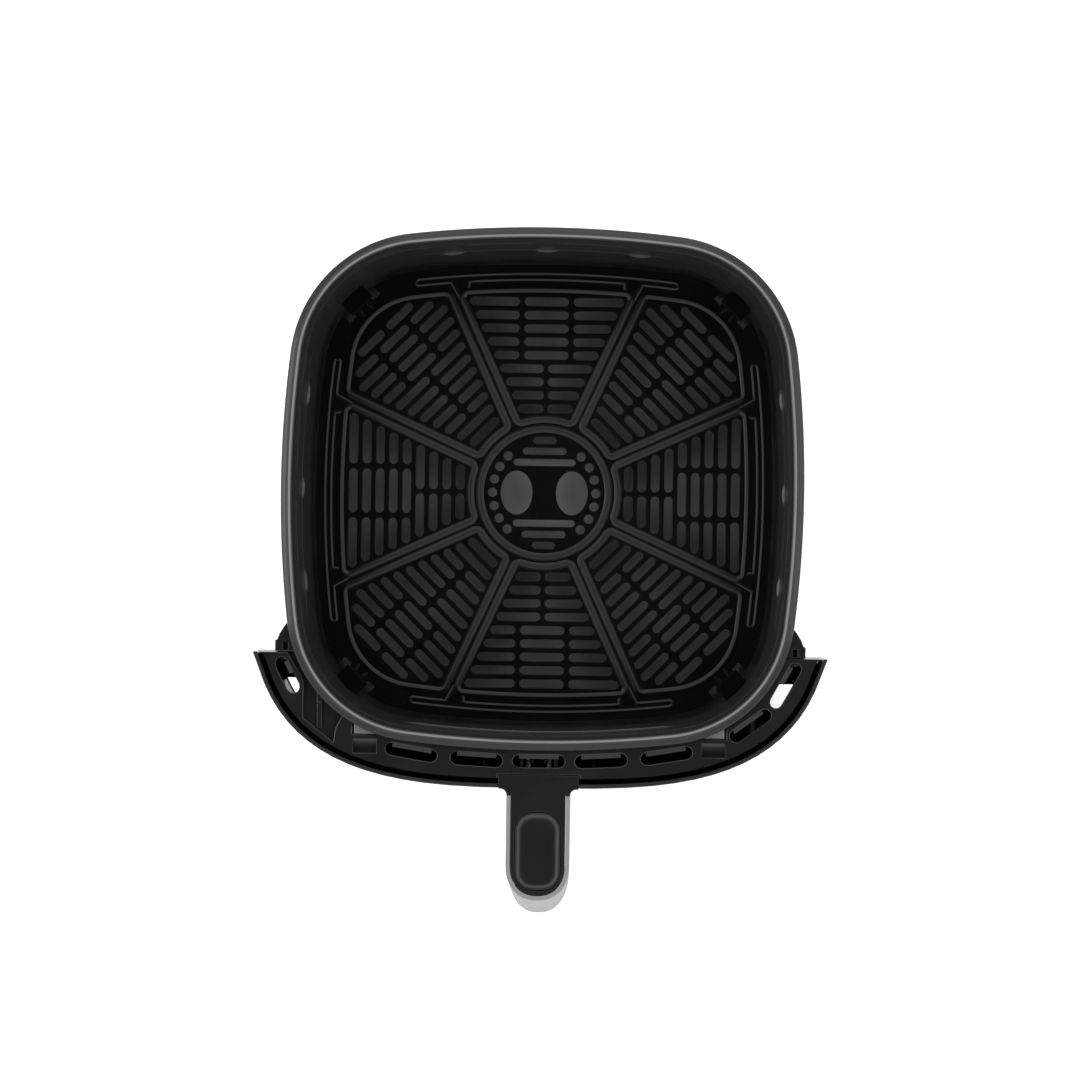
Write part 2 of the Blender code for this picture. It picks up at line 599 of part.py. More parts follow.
def make_fascia():
    """The outer skin: a curved wall with round lower ends, a notch for the handle and four bosses."""
    skin = skirt("fascia", 0.0, FASCIA_THICK, FASCIA_BOTTOM, SHELF_TOP)
    bosses, cuts = [], []
    for side in (-1, 1):
        for step in FASCIA_SCREWS:
            point, normal = fascia_screw_line(step, side)
            back = behind(point, normal, SKIRT_INSET - CLEARANCE, FASCIA_SCREW_HEIGHT)
            bosses.append(rod("boss", behind(point, normal, FASCIA_THICK / 2, FASCIA_SCREW_HEIGHT), back, 4 * MM))
            cuts.append(rod("bore", behind(point, normal, 1.5 * MM, FASCIA_SCREW_HEIGHT),
                            behind(point, normal, 6 * MM, FASCIA_SCREW_HEIGHT), SCREW_RADIUS + 0.4 * MM))
        for height in HANDLE_SCREW_HEIGHTS.values():
            x = side * HANDLE_SCREW_X
            cuts.append(rod("bore", (x, -150 * MM, height), (x, -136 * MM, height), SCREW_RADIUS + 0.4 * MM))
    skin = combine(skin, bosses, "UNION")
    cuts.append(box("notch", -NOTCH_HALF, NOTCH_HALF, -160 * MM, -120 * MM, SHELF_TOP - NOTCH_DEPTH, RIM_HEIGHT))
    centre = (FRONT_END_Y - FASCIA_CORNER, FASCIA_BOTTOM + FASCIA_CORNER)
    corner = arc(centre, FASCIA_CORNER, -90, 0, 8)
    corner += [(FRONT_END_Y + 5 * MM, centre[1]), (FRONT_END_Y + 5 * MM, -5 * MM), (centre[0], -5 * MM)]
    cuts.append(flat_solid("round_corner", [corner], -150 * MM, 150 * MM, side_view()))
    return combine(skin, cuts, "DIFFERENCE")


def make_bracket(name, side):
    """A folded steel strap from the pan's wall to the frame's screw boss."""
    z = RIM_HEIGHT
    profile = [
        (-113.2, -40.0), (-113.2, -5.8), (-118.1, -5.8), (-118.1, -9.0), (-124.8, -9.0), (-124.8, -10.2),
        (-116.9, -10.2), (-116.9, -7.0), (-114.4, -7.0), (-114.4, -40.0),
    ]
    loop = [(y * MM, z + height * MM) for y, height in profile]
    near, far = sorted((side * 78.3 * MM, side * 88.5 * MM))
    strap = flat_solid(name, [loop], near, far, side_view())
    x = side * BRACKET_X
    bore = rod("bore", (x, BRACKET_SCREW_Y, z - 12 * MM), (x, BRACKET_SCREW_Y, z - 8 * MM), 2.1 * MM)
    return combine(strap, [bore], "DIFFERENCE")


def make_screw(name, head, tip, head_radius=2.9 * MM, radius=SCREW_RADIUS, head_height=1.9 * MM):
    """A pan-head screw whose head starts at `head`, with its shank running to `tip`."""
    head, tip = Vector(head), Vector(tip)
    along = (tip - head).normalized()
    cap = rod(name, head, head + along * head_height, head_radius)
    shank = rod("shank", head + along * head_height / 2, tip, radius, 8)
    return combine(cap, [shank], "UNION")


def make_guide(name, side):
    """The upright beside the pan's rim: a post with a fin that follows the pan."""
    def mirror(points):
        return [(side * x * MM, y * MM) for x, y in points]

    outline = [(126.8, -79.2), (126.8, -74.0), (125.9, -73.6), (124.6, -70.5), (122.3, -66.8),
               (119.5, -63.5), (118.1, -64.0), (117.2, -71.0), (116.9, -79.2)]
    post = flat_solid(name, [mirror(outline)], FRAME_BOTTOM, SHELF_TOP)
    x, height = side * GUIDE_SCREW[0], GUIDE_SCREW[1]
    bore = rod("bore", (x, -82 * MM, height), (x, -74.6 * MM, height), SCREW_RADIUS + 0.4 * MM)
    well = flat_solid("well", [mirror([(120.6, -75.0), (122.8, -75.0), (122.8, -78.4), (120.6, -78.4)])],
                      SHELF_TOP - 4 * MM, RIM_HEIGHT)
    return combine(post, [bore, well], "DIFFERENCE")


def make_interlock_tab():
    """The stepped rib in the shelf's recess that works the housing's safety switch."""
    floor = SHELF_TOP - POCKET_DEPTH + CLEARANCE
    top = SHELF_TOP / MM
    profile = [(-115.5, floor / MM), (-98.8, floor / MM), (-98.8, top), (-103.3, top), (-103.8, top - 1.2),
               (-115.5, top - 1.2)]
    loop = [(y * MM, z * MM) for y, z in profile]
    return flat_solid("interlock_tab", [loop], -106.4 * MM, -104.0 * MM, side_view())


# --- Handle --------------------------------------------------------------------------------------


def handle_plan(inset, back, steps=9):
    """Half of the handle's plan, from its back edge at +X to the tip, at the top."""
    half = HANDLE_HALF - inset
    tip = HANDLE_TIP + inset
    start = HANDLE_TIP + 17.5 * MM
    points = [(half, back)]
    for i in range(steps + 1):
        a = math.radians(90 * i / steps)
        c, s = math.cos(a) ** (2 / 2.3), math.sin(a) ** (2 / 2.3)
        points.append((half * c, start - (start - tip) * s))
    return points


def spread_prism(name, loop, low, high):
    """A prism that grows towards -Y as it goes down, about the handle's back edge."""
    made = flat_solid(name, [loop], low, high)
    top = SHELF_TOP
    full = top - HANDLE_BOTTOM
    for vertex in made.data.vertices:
        factor = 1 + (HANDLE_SPREAD - 1) * (top - vertex.co.z) / full
        if vertex.co.y < HANDLE_BACK:
            vertex.co.y = HANDLE_BACK + (vertex.co.y - HANDLE_BACK) * factor
    return made


def closed_plan(points):
    """A half plan and its mirror image as one loop."""
    return points + [(-x, y) for x, y in reversed(points[:-1])]


def finger_window(name):
    """The space that the fingers go through, as a cutter from side to side."""
    z0, z1 = HANDLE_BOTTOM + 13.5 * MM, SHELF_TOP - 17.0 * MM
    lower, upper = -186.0 * MM, -175.0 * MM
    radius = 8 * MM
    back = FRONT_FACE_Y - 5 * MM
    loop = [(back, z0)]
    loop += arc((lower + radius, z0 + radius), radius, 270, 170, 5)
    loop += arc((upper + radius, z1 - radius), radius, 170, 90, 5)
    loop += [(back, z1)]
    return flat_solid(name, [loop], -30 * MM, 30 * MM, side_view())


def make_handle_shell():
    """The bright U-shaped skin round the handle's sides and front."""
    outer = handle_plan(0.0, HANDLE_BACK)
    inner = handle_plan(HANDLE_WALL, HANDLE_BACK)
    loop = closed_plan(outer) + list(reversed(closed_plan(inner)))
    shell = spread_prism("handle_shell", loop, HANDLE_BOTTOM, SHELF_TOP)
    return combine(shell, [finger_window("window")], "DIFFERENCE")


def make_handle_core():
    """The black grip inside the shell, bored for the four handle screws."""
    back = FRONT_FACE_Y - 0.4 * MM
    plan = handle_plan(HANDLE_WALL + CLEARANCE, back)
    core = spread_prism("handle_core", closed_plan(plan), HANDLE_BOTTOM + 0.5 * MM,
                        SHELF_TOP - INSERT_THICK - CLEARANCE)
    cuts = [finger_window("window")]
    for side in (-1, 1):
        for height in HANDLE_SCREW_HEIGHTS.values():
            x = side * HANDLE_SCREW_X
            cuts.append(rod("bore", (x, -164 * MM, height), (x, -140 * MM, height), SCREW_RADIUS + 0.4 * MM))
    return combine(core, cuts, "DIFFERENCE")


def thumb_outline(inset):
    """The thumb rest's outline: a rectangle with large corners."""
    x, front, back, corner = 11.3 * MM - inset, -192.0 * MM + inset, -154.3 * MM - inset, 9.0 * MM - inset
    loop = arc((x - corner, back - corner), corner, 0, 90, 6)
    loop += arc((-x + corner, back - corner), corner, 90, 180, 6)
    loop += arc((-x + corner, front + corner), corner, 180, 270, 6)
    loop += arc((x - corner, front + corner), corner, 270, 360, 6)
    return loop


def make_top_insert():
    """The black T that covers the top of the handle and laps over the fascia and the shelf."""
    plan = handle_plan(HANDLE_WALL + CLEARANCE, -147.0 * MM)
    shoulder = [(19.2 * MM, -136.8 * MM), (19.2 * MM, -143.4 * MM)]
    fillet = arc((18.2 * MM, -146.4 * MM), 3.0 * MM, 90, 180, 5)
    half = shoulder + fillet + [(plan[0][0], -146.4 * MM)] + plan[1:]
    loop = half + [(-x, y) for x, y in reversed(half[:-1])]
    insert = flat_solid("handle_top_insert", [loop], SHELF_TOP - INSERT_THICK, SHELF_TOP)
    well = flat_solid("well", [thumb_outline(0.0)], SHELF_TOP - 1.8 * MM, SHELF_TOP + 2 * MM)
    return combine(insert, [well], "DIFFERENCE")


def make_thumb_pad():
    """The soft thumb rest let into the top insert."""
    return flat_solid("thumb_pad", [thumb_outline(CLEARANCE)], SHELF_TOP - 1.5 * MM, SHELF_TOP - 0.2 * MM)


def make_handle_plate():
    """The steel plate between the frame and the fascia that the handle screws clamp."""
    y0, y1 = -140.8 * MM, -139.0 * MM
    plate = box("handle_plate", -13 * MM, 13 * MM, y0, y1, HANDLE_SCREW_HEIGHTS["lower"] - 8 * MM,
                SHELF_TOP - NOTCH_DEPTH - 0.8 * MM)
    cuts = []
    for side in (-1, 1):
        for height in HANDLE_SCREW_HEIGHTS.values():
            x = side * HANDLE_SCREW_X
            cuts.append(rod("bore", (x, -144 * MM, height), (x, -137 * MM, height), SCREW_RADIUS + 0.4 * MM))
    return combine(plate, cuts, "DIFFERENCE")


def make_handle_screws():
    """Two long screws through the frame above, two short ones behind the steel plate below."""
    heads = {"upper": (-125.1 * MM, 1.6 * MM), "lower": (-136.6 * MM, 1.9 * MM)}
    screws = []
    for level, height in HANDLE_SCREW_HEIGHTS.items():
        for side, word in ((-1, "left"), (1, "right")):
            x = side * HANDLE_SCREW_X
            start, cap = heads[level]
            screws.append(make_screw(f"handle_screw_{level}_{word}", (x, start, height),
                                     (x, -163 * MM, height), head_height=cap))
    return screws


def make_fascia_screws():
    """Four screws from inside the frame into the fascia's bosses."""
    screws = []
    for place, step in zip(("inner", "outer"), FASCIA_SCREWS):
        for side, word in ((-1, "left"), (1, "right")):
            point, normal = fascia_screw_line(step, side)
            head_inset = SKIRT_INSET + SKIRT_THICK + 2.4 * MM
            head = behind(point, normal, head_inset, FASCIA_SCREW_HEIGHT)
            tip = behind(point, normal, 1.9 * MM, FASCIA_SCREW_HEIGHT)
            screws.append(make_screw(f"fascia_screw_{place}_{word}", head, tip))
    return screws


# --- Assembly ------------------------------------------------------------------------------------

FINISHES = {
    "coated_steel": ((0.012, 0.012, 0.014), 0.32, 0.3),
    "coated_plate": ((0.006, 0.006, 0.006), 0.36, 0.2),
    "silicone": ((0.004, 0.004, 0.004), 0.6, 0.0),
    "black_plastic": ((0.014, 0.014, 0.015), 0.45, 0.0),
    "fascia_plastic": ((0.022, 0.022, 0.024), 0.35, 0.0),
    "bright_trim": ((0.32, 0.32, 0.31), 0.35, 0.7),
    "soft_touch": ((0.016, 0.016, 0.017), 0.6, 0.0),
    "zinc_steel": ((0.5, 0.5, 0.48), 0.35, 1.0),
}


def finish(pieces, finishes):
    """Give each piece its material and smooth round faces, and gather them in one collection."""
    drawer = bpy.data.collections.new("air_fryer_drawer")
    bpy.context.scene.collection.children.link(drawer)
    for piece, slot in pieces:
        piece.data.materials.clear()
        piece.data.materials.append(finishes[slot])
        piece.data.shade_smooth()
        piece.data.set_sharp_from_angle(angle=math.radians(35))
        drawer.objects.link(piece)
        bpy.context.scene.collection.objects.unlink(piece)


def main():
    """Clear the scene and build every piece of the drawer."""
    for obj in list(bpy.data.objects):
        bpy.data.objects.remove(obj)
    finishes = {name: material(name, *values) for name, values in FINISHES.items()}
    pieces = [
        (make_pan(), "coated_steel"),
        (make_plate(), "coated_plate"),
        (make_front_frame(), "black_plastic"),
        (make_fascia(), "fascia_plastic"),
        (make_handle_shell(), "bright_trim"),
        (make_handle_core(), "black_plastic"),
        (make_top_insert(), "black_plastic"),
        (make_thumb_pad(), "soft_touch"),
        (make_handle_plate(), "zinc_steel"),
        (make_interlock_tab(), "black_plastic"),
    ]
    for word, angle in (("back_right", 45), ("back_left", 135), ("front_left", 225), ("front_right", 315)):
        pieces.append((make_bumper(f"bumper_{word}", angle), "silicone"))
    for side, word in ((-1, "left"), (1, "right")):
        pieces.append((make_guide(f"side_guide_{word}", side), "black_plastic"))
        pieces.append((make_bracket(f"pan_bracket_{word}", side), "zinc_steel"))
        x = side * BRACKET_X
        pieces.append((make_screw(f"bracket_screw_{word}", (x, BRACKET_SCREW_Y, RIM_HEIGHT - 26.2 * MM),
                                  (x, BRACKET_SCREW_Y, RIM_HEIGHT - 8.6 * MM), 3.4 * MM, 1.75 * MM), "zinc_steel"))
        x, height = side * GUIDE_SCREW[0], GUIDE_SCREW[1]
        pieces.append((make_screw(f"guide_screw_{word}", (x, -83.7 * MM, height), (x, -75.0 * MM, height)),
                       "zinc_steel"))
    pieces += [(screw, "zinc_steel") for screw in make_handle_screws() + make_fascia_screws()]
    finish(pieces, finishes)


main()
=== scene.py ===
"""Looks of the pull-out drawer of a small air fryer.

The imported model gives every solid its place.  The pan, the crisper plate with its bumpers, the top of
the handle and the screws are modelled anew in finer detail, and the mouldings and pressings that
already have their shape get softened edges.  Every finish is procedural.  Units are metres, +Z is up
and -Y is the handle side.
"""

from __future__ import annotations

import logging
import math
from contextlib import contextmanager
from dataclasses import dataclass, field
from enum import Enum
from functools import cache
from typing import Callable, Iterable, Iterator, Sequence

import bmesh
import bpy
from mathutils import Matrix, Vector

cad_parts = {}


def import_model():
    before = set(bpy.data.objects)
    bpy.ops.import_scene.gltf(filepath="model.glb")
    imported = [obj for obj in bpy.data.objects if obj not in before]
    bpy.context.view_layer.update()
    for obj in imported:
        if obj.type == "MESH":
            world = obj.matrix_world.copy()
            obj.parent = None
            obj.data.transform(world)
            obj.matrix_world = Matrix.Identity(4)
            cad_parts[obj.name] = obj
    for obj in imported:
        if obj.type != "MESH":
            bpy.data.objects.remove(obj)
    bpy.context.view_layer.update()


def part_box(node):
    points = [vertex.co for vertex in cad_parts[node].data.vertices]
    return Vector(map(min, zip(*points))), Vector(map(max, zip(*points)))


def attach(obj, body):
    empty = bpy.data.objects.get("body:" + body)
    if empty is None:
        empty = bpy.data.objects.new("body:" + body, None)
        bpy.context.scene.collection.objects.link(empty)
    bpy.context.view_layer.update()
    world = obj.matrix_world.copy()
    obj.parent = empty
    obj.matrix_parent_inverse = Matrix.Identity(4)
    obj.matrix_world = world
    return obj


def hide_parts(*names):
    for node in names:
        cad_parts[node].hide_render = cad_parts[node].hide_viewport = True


LOG = logging.getLogger("air_fryer_drawer")

MM = 0.001
WELD = 0.002 * MM
PLAN_TILT = 17.3
MOULDED = 18.0
DRAWER = "drawer"
TRAY = "crisper_tray"

Point2 = tuple[float, float]
Loop = list[Point2]
Grey = tuple[float, float, float]
Obj = bpy.types.Object
Edge = bmesh.types.BMEdge
Tree = bpy.types.NodeTree
Node = bpy.types.Node
Socket = bpy.types.NodeSocket


class Slot(Enum):
    """The record's material slots."""

    PAN = "coated_steel"
    PLATE = "coated_plate"
    SILICONE = "silicone"
    PLASTIC = "black_plastic"
    FASCIA = "fascia_plastic"
    TRIM = "bright_trim"
    SOFT = "soft_touch"
    STEEL = "zinc_steel"


class Side(Enum):
    """Left and right as seen from above with the handle nearest."""

    LEFT = -1
    RIGHT = 1


# --- Plane geometry ----------------------------------------------------------------------------------


def arc(centre: Point2, radius: float, start: float, end: float, count: int) -> Loop:
    """Points along an arc, ends included.

    Args:
        centre: The arc's centre.
        radius: Its radius.
        start: The first angle, in degrees.
        end: The last angle, in degrees.
        count: How many steps it takes.

    Returns:
        The arc's points.
    """
    angles = [math.radians(start + (end - start) * i / count) for i in range(count + 1)]
    return [(centre[0] + radius * math.cos(a), centre[1] + radius * math.sin(a)) for a in angles]


def turned(loop: Iterable[Point2], degrees: float) -> Loop:
    """The points turned about the origin by an angle in degrees."""
    c, s = math.cos(math.radians(degrees)), math.sin(math.radians(degrees))
    return [(c * x - s * y, s * x + c * y) for x, y in loop]


def stadium(x: float, y: float, length: float, width: float, degrees: float = 0.0, count: int = 8) -> Loop:
    """A slot with round ends.

    Args:
        x: The slot's middle.
        y: The slot's middle.
        length: Its whole length.
        width: Its width.
        degrees: How far its long side is turned.
        count: Steps in each round end.

    Returns:
        The slot's outline.
    """
    radius = width / 2
    reach = length / 2 - radius
    points = arc((reach, 0), radius, -90, 90, count) + arc((-reach, 0), radius, 90, 270, count)
    return [(x + u, y + v) for u, v in turned(points, degrees)]


def crossing(points: Sequence[Point2], value: float, axis: int = 1) -> float:
    """The other coordinate where a line of points first passes a value on one axis.

    Args:
        points: The line's points.
        value: The value that the line passes.
        axis: The axis of that value: 0 is x and 1 is y.

    Returns:
        The coordinate on the other axis.
    """
    for near, far in zip(points, points[1:]):
        if min(near[axis], far[axis]) <= value <= max(near[axis], far[axis]):
            part = (value - near[axis]) / (far[axis] - near[axis])
            return near[1 - axis] + (far[1 - axis] - near[1 - axis]) * part
    raise ValueError("the line doesn't reach that value")


def rounded(corners: Sequence[tuple[float, float, float]], closed: bool, step: float = 14.0) -> Loop:
    """A line through corners, each one rounded with its own radius.

    Args:
        corners: Each corner as x, y and radius.
        closed: Whether the line comes back to its start.
        step: The largest angle between two points of a rounded corner, in degrees.

    Returns:
        The line's points.
    """
    count = len(corners)
    points: Loop = []
    for i, (x, y, radius) in enumerate(corners):
        if radius <= 0 or (not closed and i in (0, count - 1)):
            points.append((x, y))
            continue
        here = Vector((x, y))
        before = (Vector(corners[i - 1][:2]) - here).normalized()
        after = (Vector(corners[(i + 1) % count][:2]) - here).normalized()
        inside = math.acos(max(-1.0, min(1.0, before.dot(after))))
        if inside > math.radians(176):
            points.append((x, y))
            continue
        reach = radius / math.tan(inside / 2)
        middle = here + (before + after).normalized() * (radius / math.sin(inside / 2))
        first, last = here + before * reach - middle, here + after * reach - middle
        sweep = first.angle_signed(last, 0.0)
        steps = max(2, math.ceil(math.degrees(abs(sweep)) / step))
        for k in range(steps + 1):
            a = -sweep * k / steps
            c, s = math.cos(a), math.sin(a)
            points.append((middle.x + c * first.x - s * first.y, middle.y + s * first.x + c * first.y))
    return points


@dataclass(frozen=True)
class BowedSquare:
    """A square with outward-bowed sides and round corners, seen from above."""

    half: float
    corner: float
    bow: float = 545 * MM

    def octant(self, side_steps: int, corner_steps: int) -> Loop:
        """The points from the middle of the +X side to the +X+Y diagonal.

        Args:
            side_steps: Steps along the bowed side.
            corner_steps: Steps round the corner.

        Returns:
            The octant's points.
        """
        turn = math.pi / 4 + math.asin((self.half - self.bow) / (math.sqrt(2) * (self.bow - self.corner)))
        centre = self.half - self.bow + (self.bow - self.corner) * math.cos(turn)
        side = arc((self.half - self.bow, 0), self.bow, 0, math.degrees(turn), side_steps)
        bend = arc((centre, centre), self.corner, math.degrees(turn), 45, corner_steps)
        return side + bend[1:]

    def points(self, side_steps: int = 12, corner_steps: int = 10) -> Loop:
        """The whole outline, counter-clockwise from the middle of the +X side.

        Args:
            side_steps: Steps along half a side.
            corner_steps: Steps round half a corner.

        Returns:
            The outline's points.
        """
        octant = self.octant(side_steps, corner_steps)
        quarter = octant + [(y, x) for x, y in reversed(octant[:-1])]
        return [p for k in range(4) for p in turned(quarter[:-1], 90 * k)]

    def top_run(self, low_x: float, high_x: float, steps: int) -> Loop:
        """The part of the +Y side between two x values, from left to right.

        Args:
            low_x: Where the part starts.
            high_x: Where it ends.
            steps: How many steps it takes.

        Returns:
            The part's points.
        """
        octant = self.octant(60, 40)
        run = [(-y, x) for x, y in reversed(octant)] + [(y, x) for x, y in octant[1:]]
        xs = [low_x + (high_x - low_x) * i / steps for i in range(steps + 1)]
        return [(x, crossing(run, x, axis=0)) for x in xs]


@dataclass(frozen=True)
class HandlePlan:
    """The handle's outline from above: straight sides and a full, rounded tip."""

    half: float = 15.2 * MM
    back: float = -146.7 * MM
    start: float = -179.0 * MM
    tip: float = -196.5 * MM
    power: float = 2.3
    spread: float = 1.277

    def half_outline(self, inset: float, back: float, steps: int = 22) -> Loop:
        """The outline's +X half, from its back edge to the tip.

        Args:
            inset: How far the outline is drawn in.
            back: The y of its back edge.
            steps: Steps round the tip.

        Returns:
            The half's points.
        """
        half, tip = self.half - inset, self.tip + inset
        points = [(half, back)]
        for i in range(steps + 1):
            a = math.radians(90 * i / steps)
            c, s = math.cos(a) ** (2 / self.power), math.sin(a) ** (2 / self.power)
            points.append((half * max(c, 0.0), self.start - (self.start - tip) * s))
        return points

    def outline(self, inset: float, back: float) -> Loop:
        """The whole outline as one loop."""
        half = self.half_outline(inset, back)
        return half + [(-x, y) for x, y in reversed(half[:-1])]


# --- Bench: modelling operations -----------------------------------------------------------------------


class Bench:
    """The modelling operations that every sub-assembly shares."""

    @staticmethod
    def only(piece: Obj) -> None:
        """Select one object alone and make it active.

        Args:
            piece: The object.
        """
        bpy.ops.object.select_all(action="DESELECT")
        piece.select_set(True)
        bpy.context.view_layer.objects.active = piece

    @staticmethod
    @contextmanager
    def editing(piece: Obj) -> Iterator[None]:
        """Edit mode on one object alone.

        Args:
            piece: The object.

        Returns:
            A context that ends with a return to object mode.
        """
        Bench.only(piece)
        bpy.ops.object.mode_set(mode="EDIT")
        yield
        bpy.ops.object.mode_set(mode="OBJECT")

    @staticmethod
    def modify(piece: Obj, kind: str, **settings: object) -> None:
        """Give a piece one modifier with its settings and apply it.

        Args:
            piece: The piece.
            kind: The modifier's type.
            settings: The modifier's settings, by name.
        """
        Bench.only(piece)
        step = piece.modifiers.new(kind.lower(), kind)
        for setting, value in settings.items():
            setattr(step, setting, value)
        bpy.ops.object.modifier_apply(modifier=step.name)

    @staticmethod
    def weld(piece: Obj, outward: bool = True) -> None:
        """Merge a piece's doubled vertices and turn its faces outwards.

        Args:
            piece: The piece.
            outward: Whether its faces are turned outwards.
        """
        with Bench.editing(piece):
            bpy.ops.mesh.select_all(action="SELECT")
            bpy.ops.mesh.remove_doubles(threshold=WELD)
            if outward:
                bpy.ops.mesh.normals_make_consistent(inside=False)
            bpy.ops.mesh.select_all(action="DESELECT")

    @staticmethod
    def smooth(piece: Obj, degrees: float, inner_from: Vector | None = None) -> None:
        """Shade a piece smooth, with sharp edges past an angle.

        Args:
            piece: The piece.
            degrees: The angle past which an edge stays sharp.
            inner_from: A point that the faces to be left flat look towards; none are if it's not given.
        """
        Bench.only(piece)
        bpy.ops.object.shade_smooth_by_angle(angle=math.radians(degrees))
        if inner_from is not None:
            shape = bmesh.new()
            shape.from_mesh(piece.data)
            for face in shape.faces:
                if face.normal.dot((inner_from - face.calc_center_median()).normalized()) > 0.25:
                    for edge in face.edges:
                        edge.smooth = False
            shape.to_mesh(piece.data)
            shape.free()
        Bench.modify(piece, "WEIGHTED_NORMAL", keep_sharp=True, weight=60)

    @staticmethod
    def place(piece: Obj, matrix: Matrix | None = None) -> None:
        """Put a piece's place and turn, or those of a matrix, into its mesh.

        Args:
            piece: The piece.
            matrix: Its new place and turn, if it doesn't have them yet.
        """
        if matrix is not None:
            piece.matrix_world = matrix
        Bench.only(piece)
        bpy.ops.object.transform_apply(location=True, rotation=True, scale=True)

    @staticmethod
    def curve(name: str, loops: Sequence[Loop], closed: bool = True, **settings: object) -> Obj:
        """A flat curve with a spline for each loop, and any settings of its data.

        Args:
            name: The new object's name.
            loops: The points of each spline.
            closed: Whether the splines come back to their start.
            settings: Settings of the curve's data, by name.

        Returns:
            The curve.
        """
        data = bpy.data.curves.new(name, "CURVE")
        data.dimensions = "2D"
        for setting, value in settings.items():
            setattr(data, setting, value)
        for loop in loops:
            spline = data.splines.new("POLY")
            spline.points.add(len(loop) - 1)
            spline.use_cyclic_u = closed
            for point, (x, y) in zip(spline.points, loop):
                point.co = (x, y, 0.0, 1.0)
        made = bpy.data.objects.new(name, data)
        bpy.context.scene.collection.objects.link(made)
        return made

    @staticmethod
    def to_mesh(curve: Obj, level: float, degrees: float = 0.0) -> Obj:
        """A curve made a mesh, lifted to a level and turned, with its doubles merged.

        Args:
            curve: The curve.
            level: How far it is lifted.
            degrees: How far it is turned.

        Returns:
            The mesh.
        """
        Bench.only(curve)
        bpy.ops.object.convert(target="MESH")
        made = bpy.context.view_layer.objects.active
        made.location = (0, 0, level)
        made.rotation_euler = (0, 0, math.radians(degrees))
        Bench.place(made)
        Bench.weld(made)
        return made

    @staticmethod
    def flat(name: str, loops: Sequence[Loop], low: float, high: float, edge: float = 0.0,
             rounds: int = 1) -> Obj:
        """A slab on flat outlines, with softened edges.

        Args:
            name: The new object's name.
            loops: The outlines; those inside another are holes.
            low: The slab's underside.
            high: The slab's top.
            edge: The width of the softened edge.
            rounds: How many steps the softened edge has.

        Returns:
            The slab as a closed mesh.
        """
        tilted = [turned(loop, PLAN_TILT) for loop in loops]
        made = Bench.curve(name, tilted, fill_mode="BOTH", extrude=(high - low) / 2 - edge, bevel_depth=edge,
                           bevel_resolution=rounds, offset=-edge)
        return Bench.to_mesh(made, (low + high) / 2, -PLAN_TILT)

    @staticmethod
    def ridge(name: str, path: Loop, closed: bool, profile: Loop, level: float) -> Obj:
        """A raised ridge that follows a path on a flat sheet.

        Args:
            name: The new object's name.
            path: The path of the ridge's middle, seen from above.
            closed: Whether the path comes back to its start.
            profile: The ridge's cross-section as (across, height) points, counter-clockwise.
            level: The height of the sheet.

        Returns:
            The ridge as a closed mesh.
        """
        section = Bench.curve(name + "_section", [profile])
        made = Bench.curve(name, [path], closed, fill_mode="NONE", bevel_mode="OBJECT", bevel_object=section,
                           use_fill_caps=not closed)
        made = Bench.to_mesh(made, level)
        bpy.data.objects.remove(section)
        return made

    @staticmethod
    def loft(name: str, rings: Sequence[Sequence[Vector]], cap: bool = True) -> Obj:
        """A skin made by extruding a ring of vertices from each section to the next.

        Args:
            name: The new object's name.
            rings: The sections, each with the same number of points.
            cap: Whether the first and last sections are filled.

        Returns:
            The skin as a mesh.
        """
        bpy.ops.object.select_all(action="DESELECT")
        bpy.ops.mesh.primitive_circle_add(vertices=len(rings[0]), radius=1.0, fill_type="NOTHING")
        made = bpy.context.active_object
        made.name = made.data.name = name
        with Bench.editing(made):
            for index, ring in enumerate(rings):
                if index:
                    bpy.ops.mesh.extrude_edges_move()
                shape = bmesh.from_edit_mesh(made.data)
                chosen = [v for v in shape.verts if v.select]
                if index:
                    sources = {v: next(e.other_vert(v) for e in v.link_edges if not e.other_vert(v).select)
                               for v in chosen}
                    order.update({vert: order[source] for vert, source in sources.items()})
                else:
                    shape.verts.ensure_lookup_table()
                    order = {v: i for i, v in enumerate(shape.verts)}
                for vert in chosen:
                    vert.co = ring[order[vert]]
                bmesh.update_edit_mesh(made.data)
            if cap:
                Bench._close(made)
        return made

    @staticmethod
    def _close(made: Obj) -> None:
        """Fill the last ring of a skin and then its first, and turn its faces outwards.

        Args:
            made: The skin, in edit mode with its last ring selected.
        """
        bpy.ops.mesh.edge_face_add()
        bpy.ops.mesh.select_all(action="DESELECT")
        for edge in bmesh.from_edit_mesh(made.data).edges:
            if edge.is_boundary:
                edge.select_set(True)
        bmesh.update_edit_mesh(made.data)
        bpy.ops.mesh.edge_face_add()
        bpy.ops.mesh.select_all(action="SELECT")
        bpy.ops.mesh.normals_make_consistent(inside=False)

    @staticmethod
    def join(main: Obj, others: Iterable[Obj]) -> Obj:
        """One object made of several.

        Args:
            main: The object that takes the others in.
            others: The objects that go into it.

        Returns:
            The joined object.
        """
        bpy.ops.object.select_all(action="DESELECT")
        for piece in (*others, main):
            piece.select_set(True)
        bpy.context.view_layer.objects.active = main
        bpy.ops.object.join()
        return main

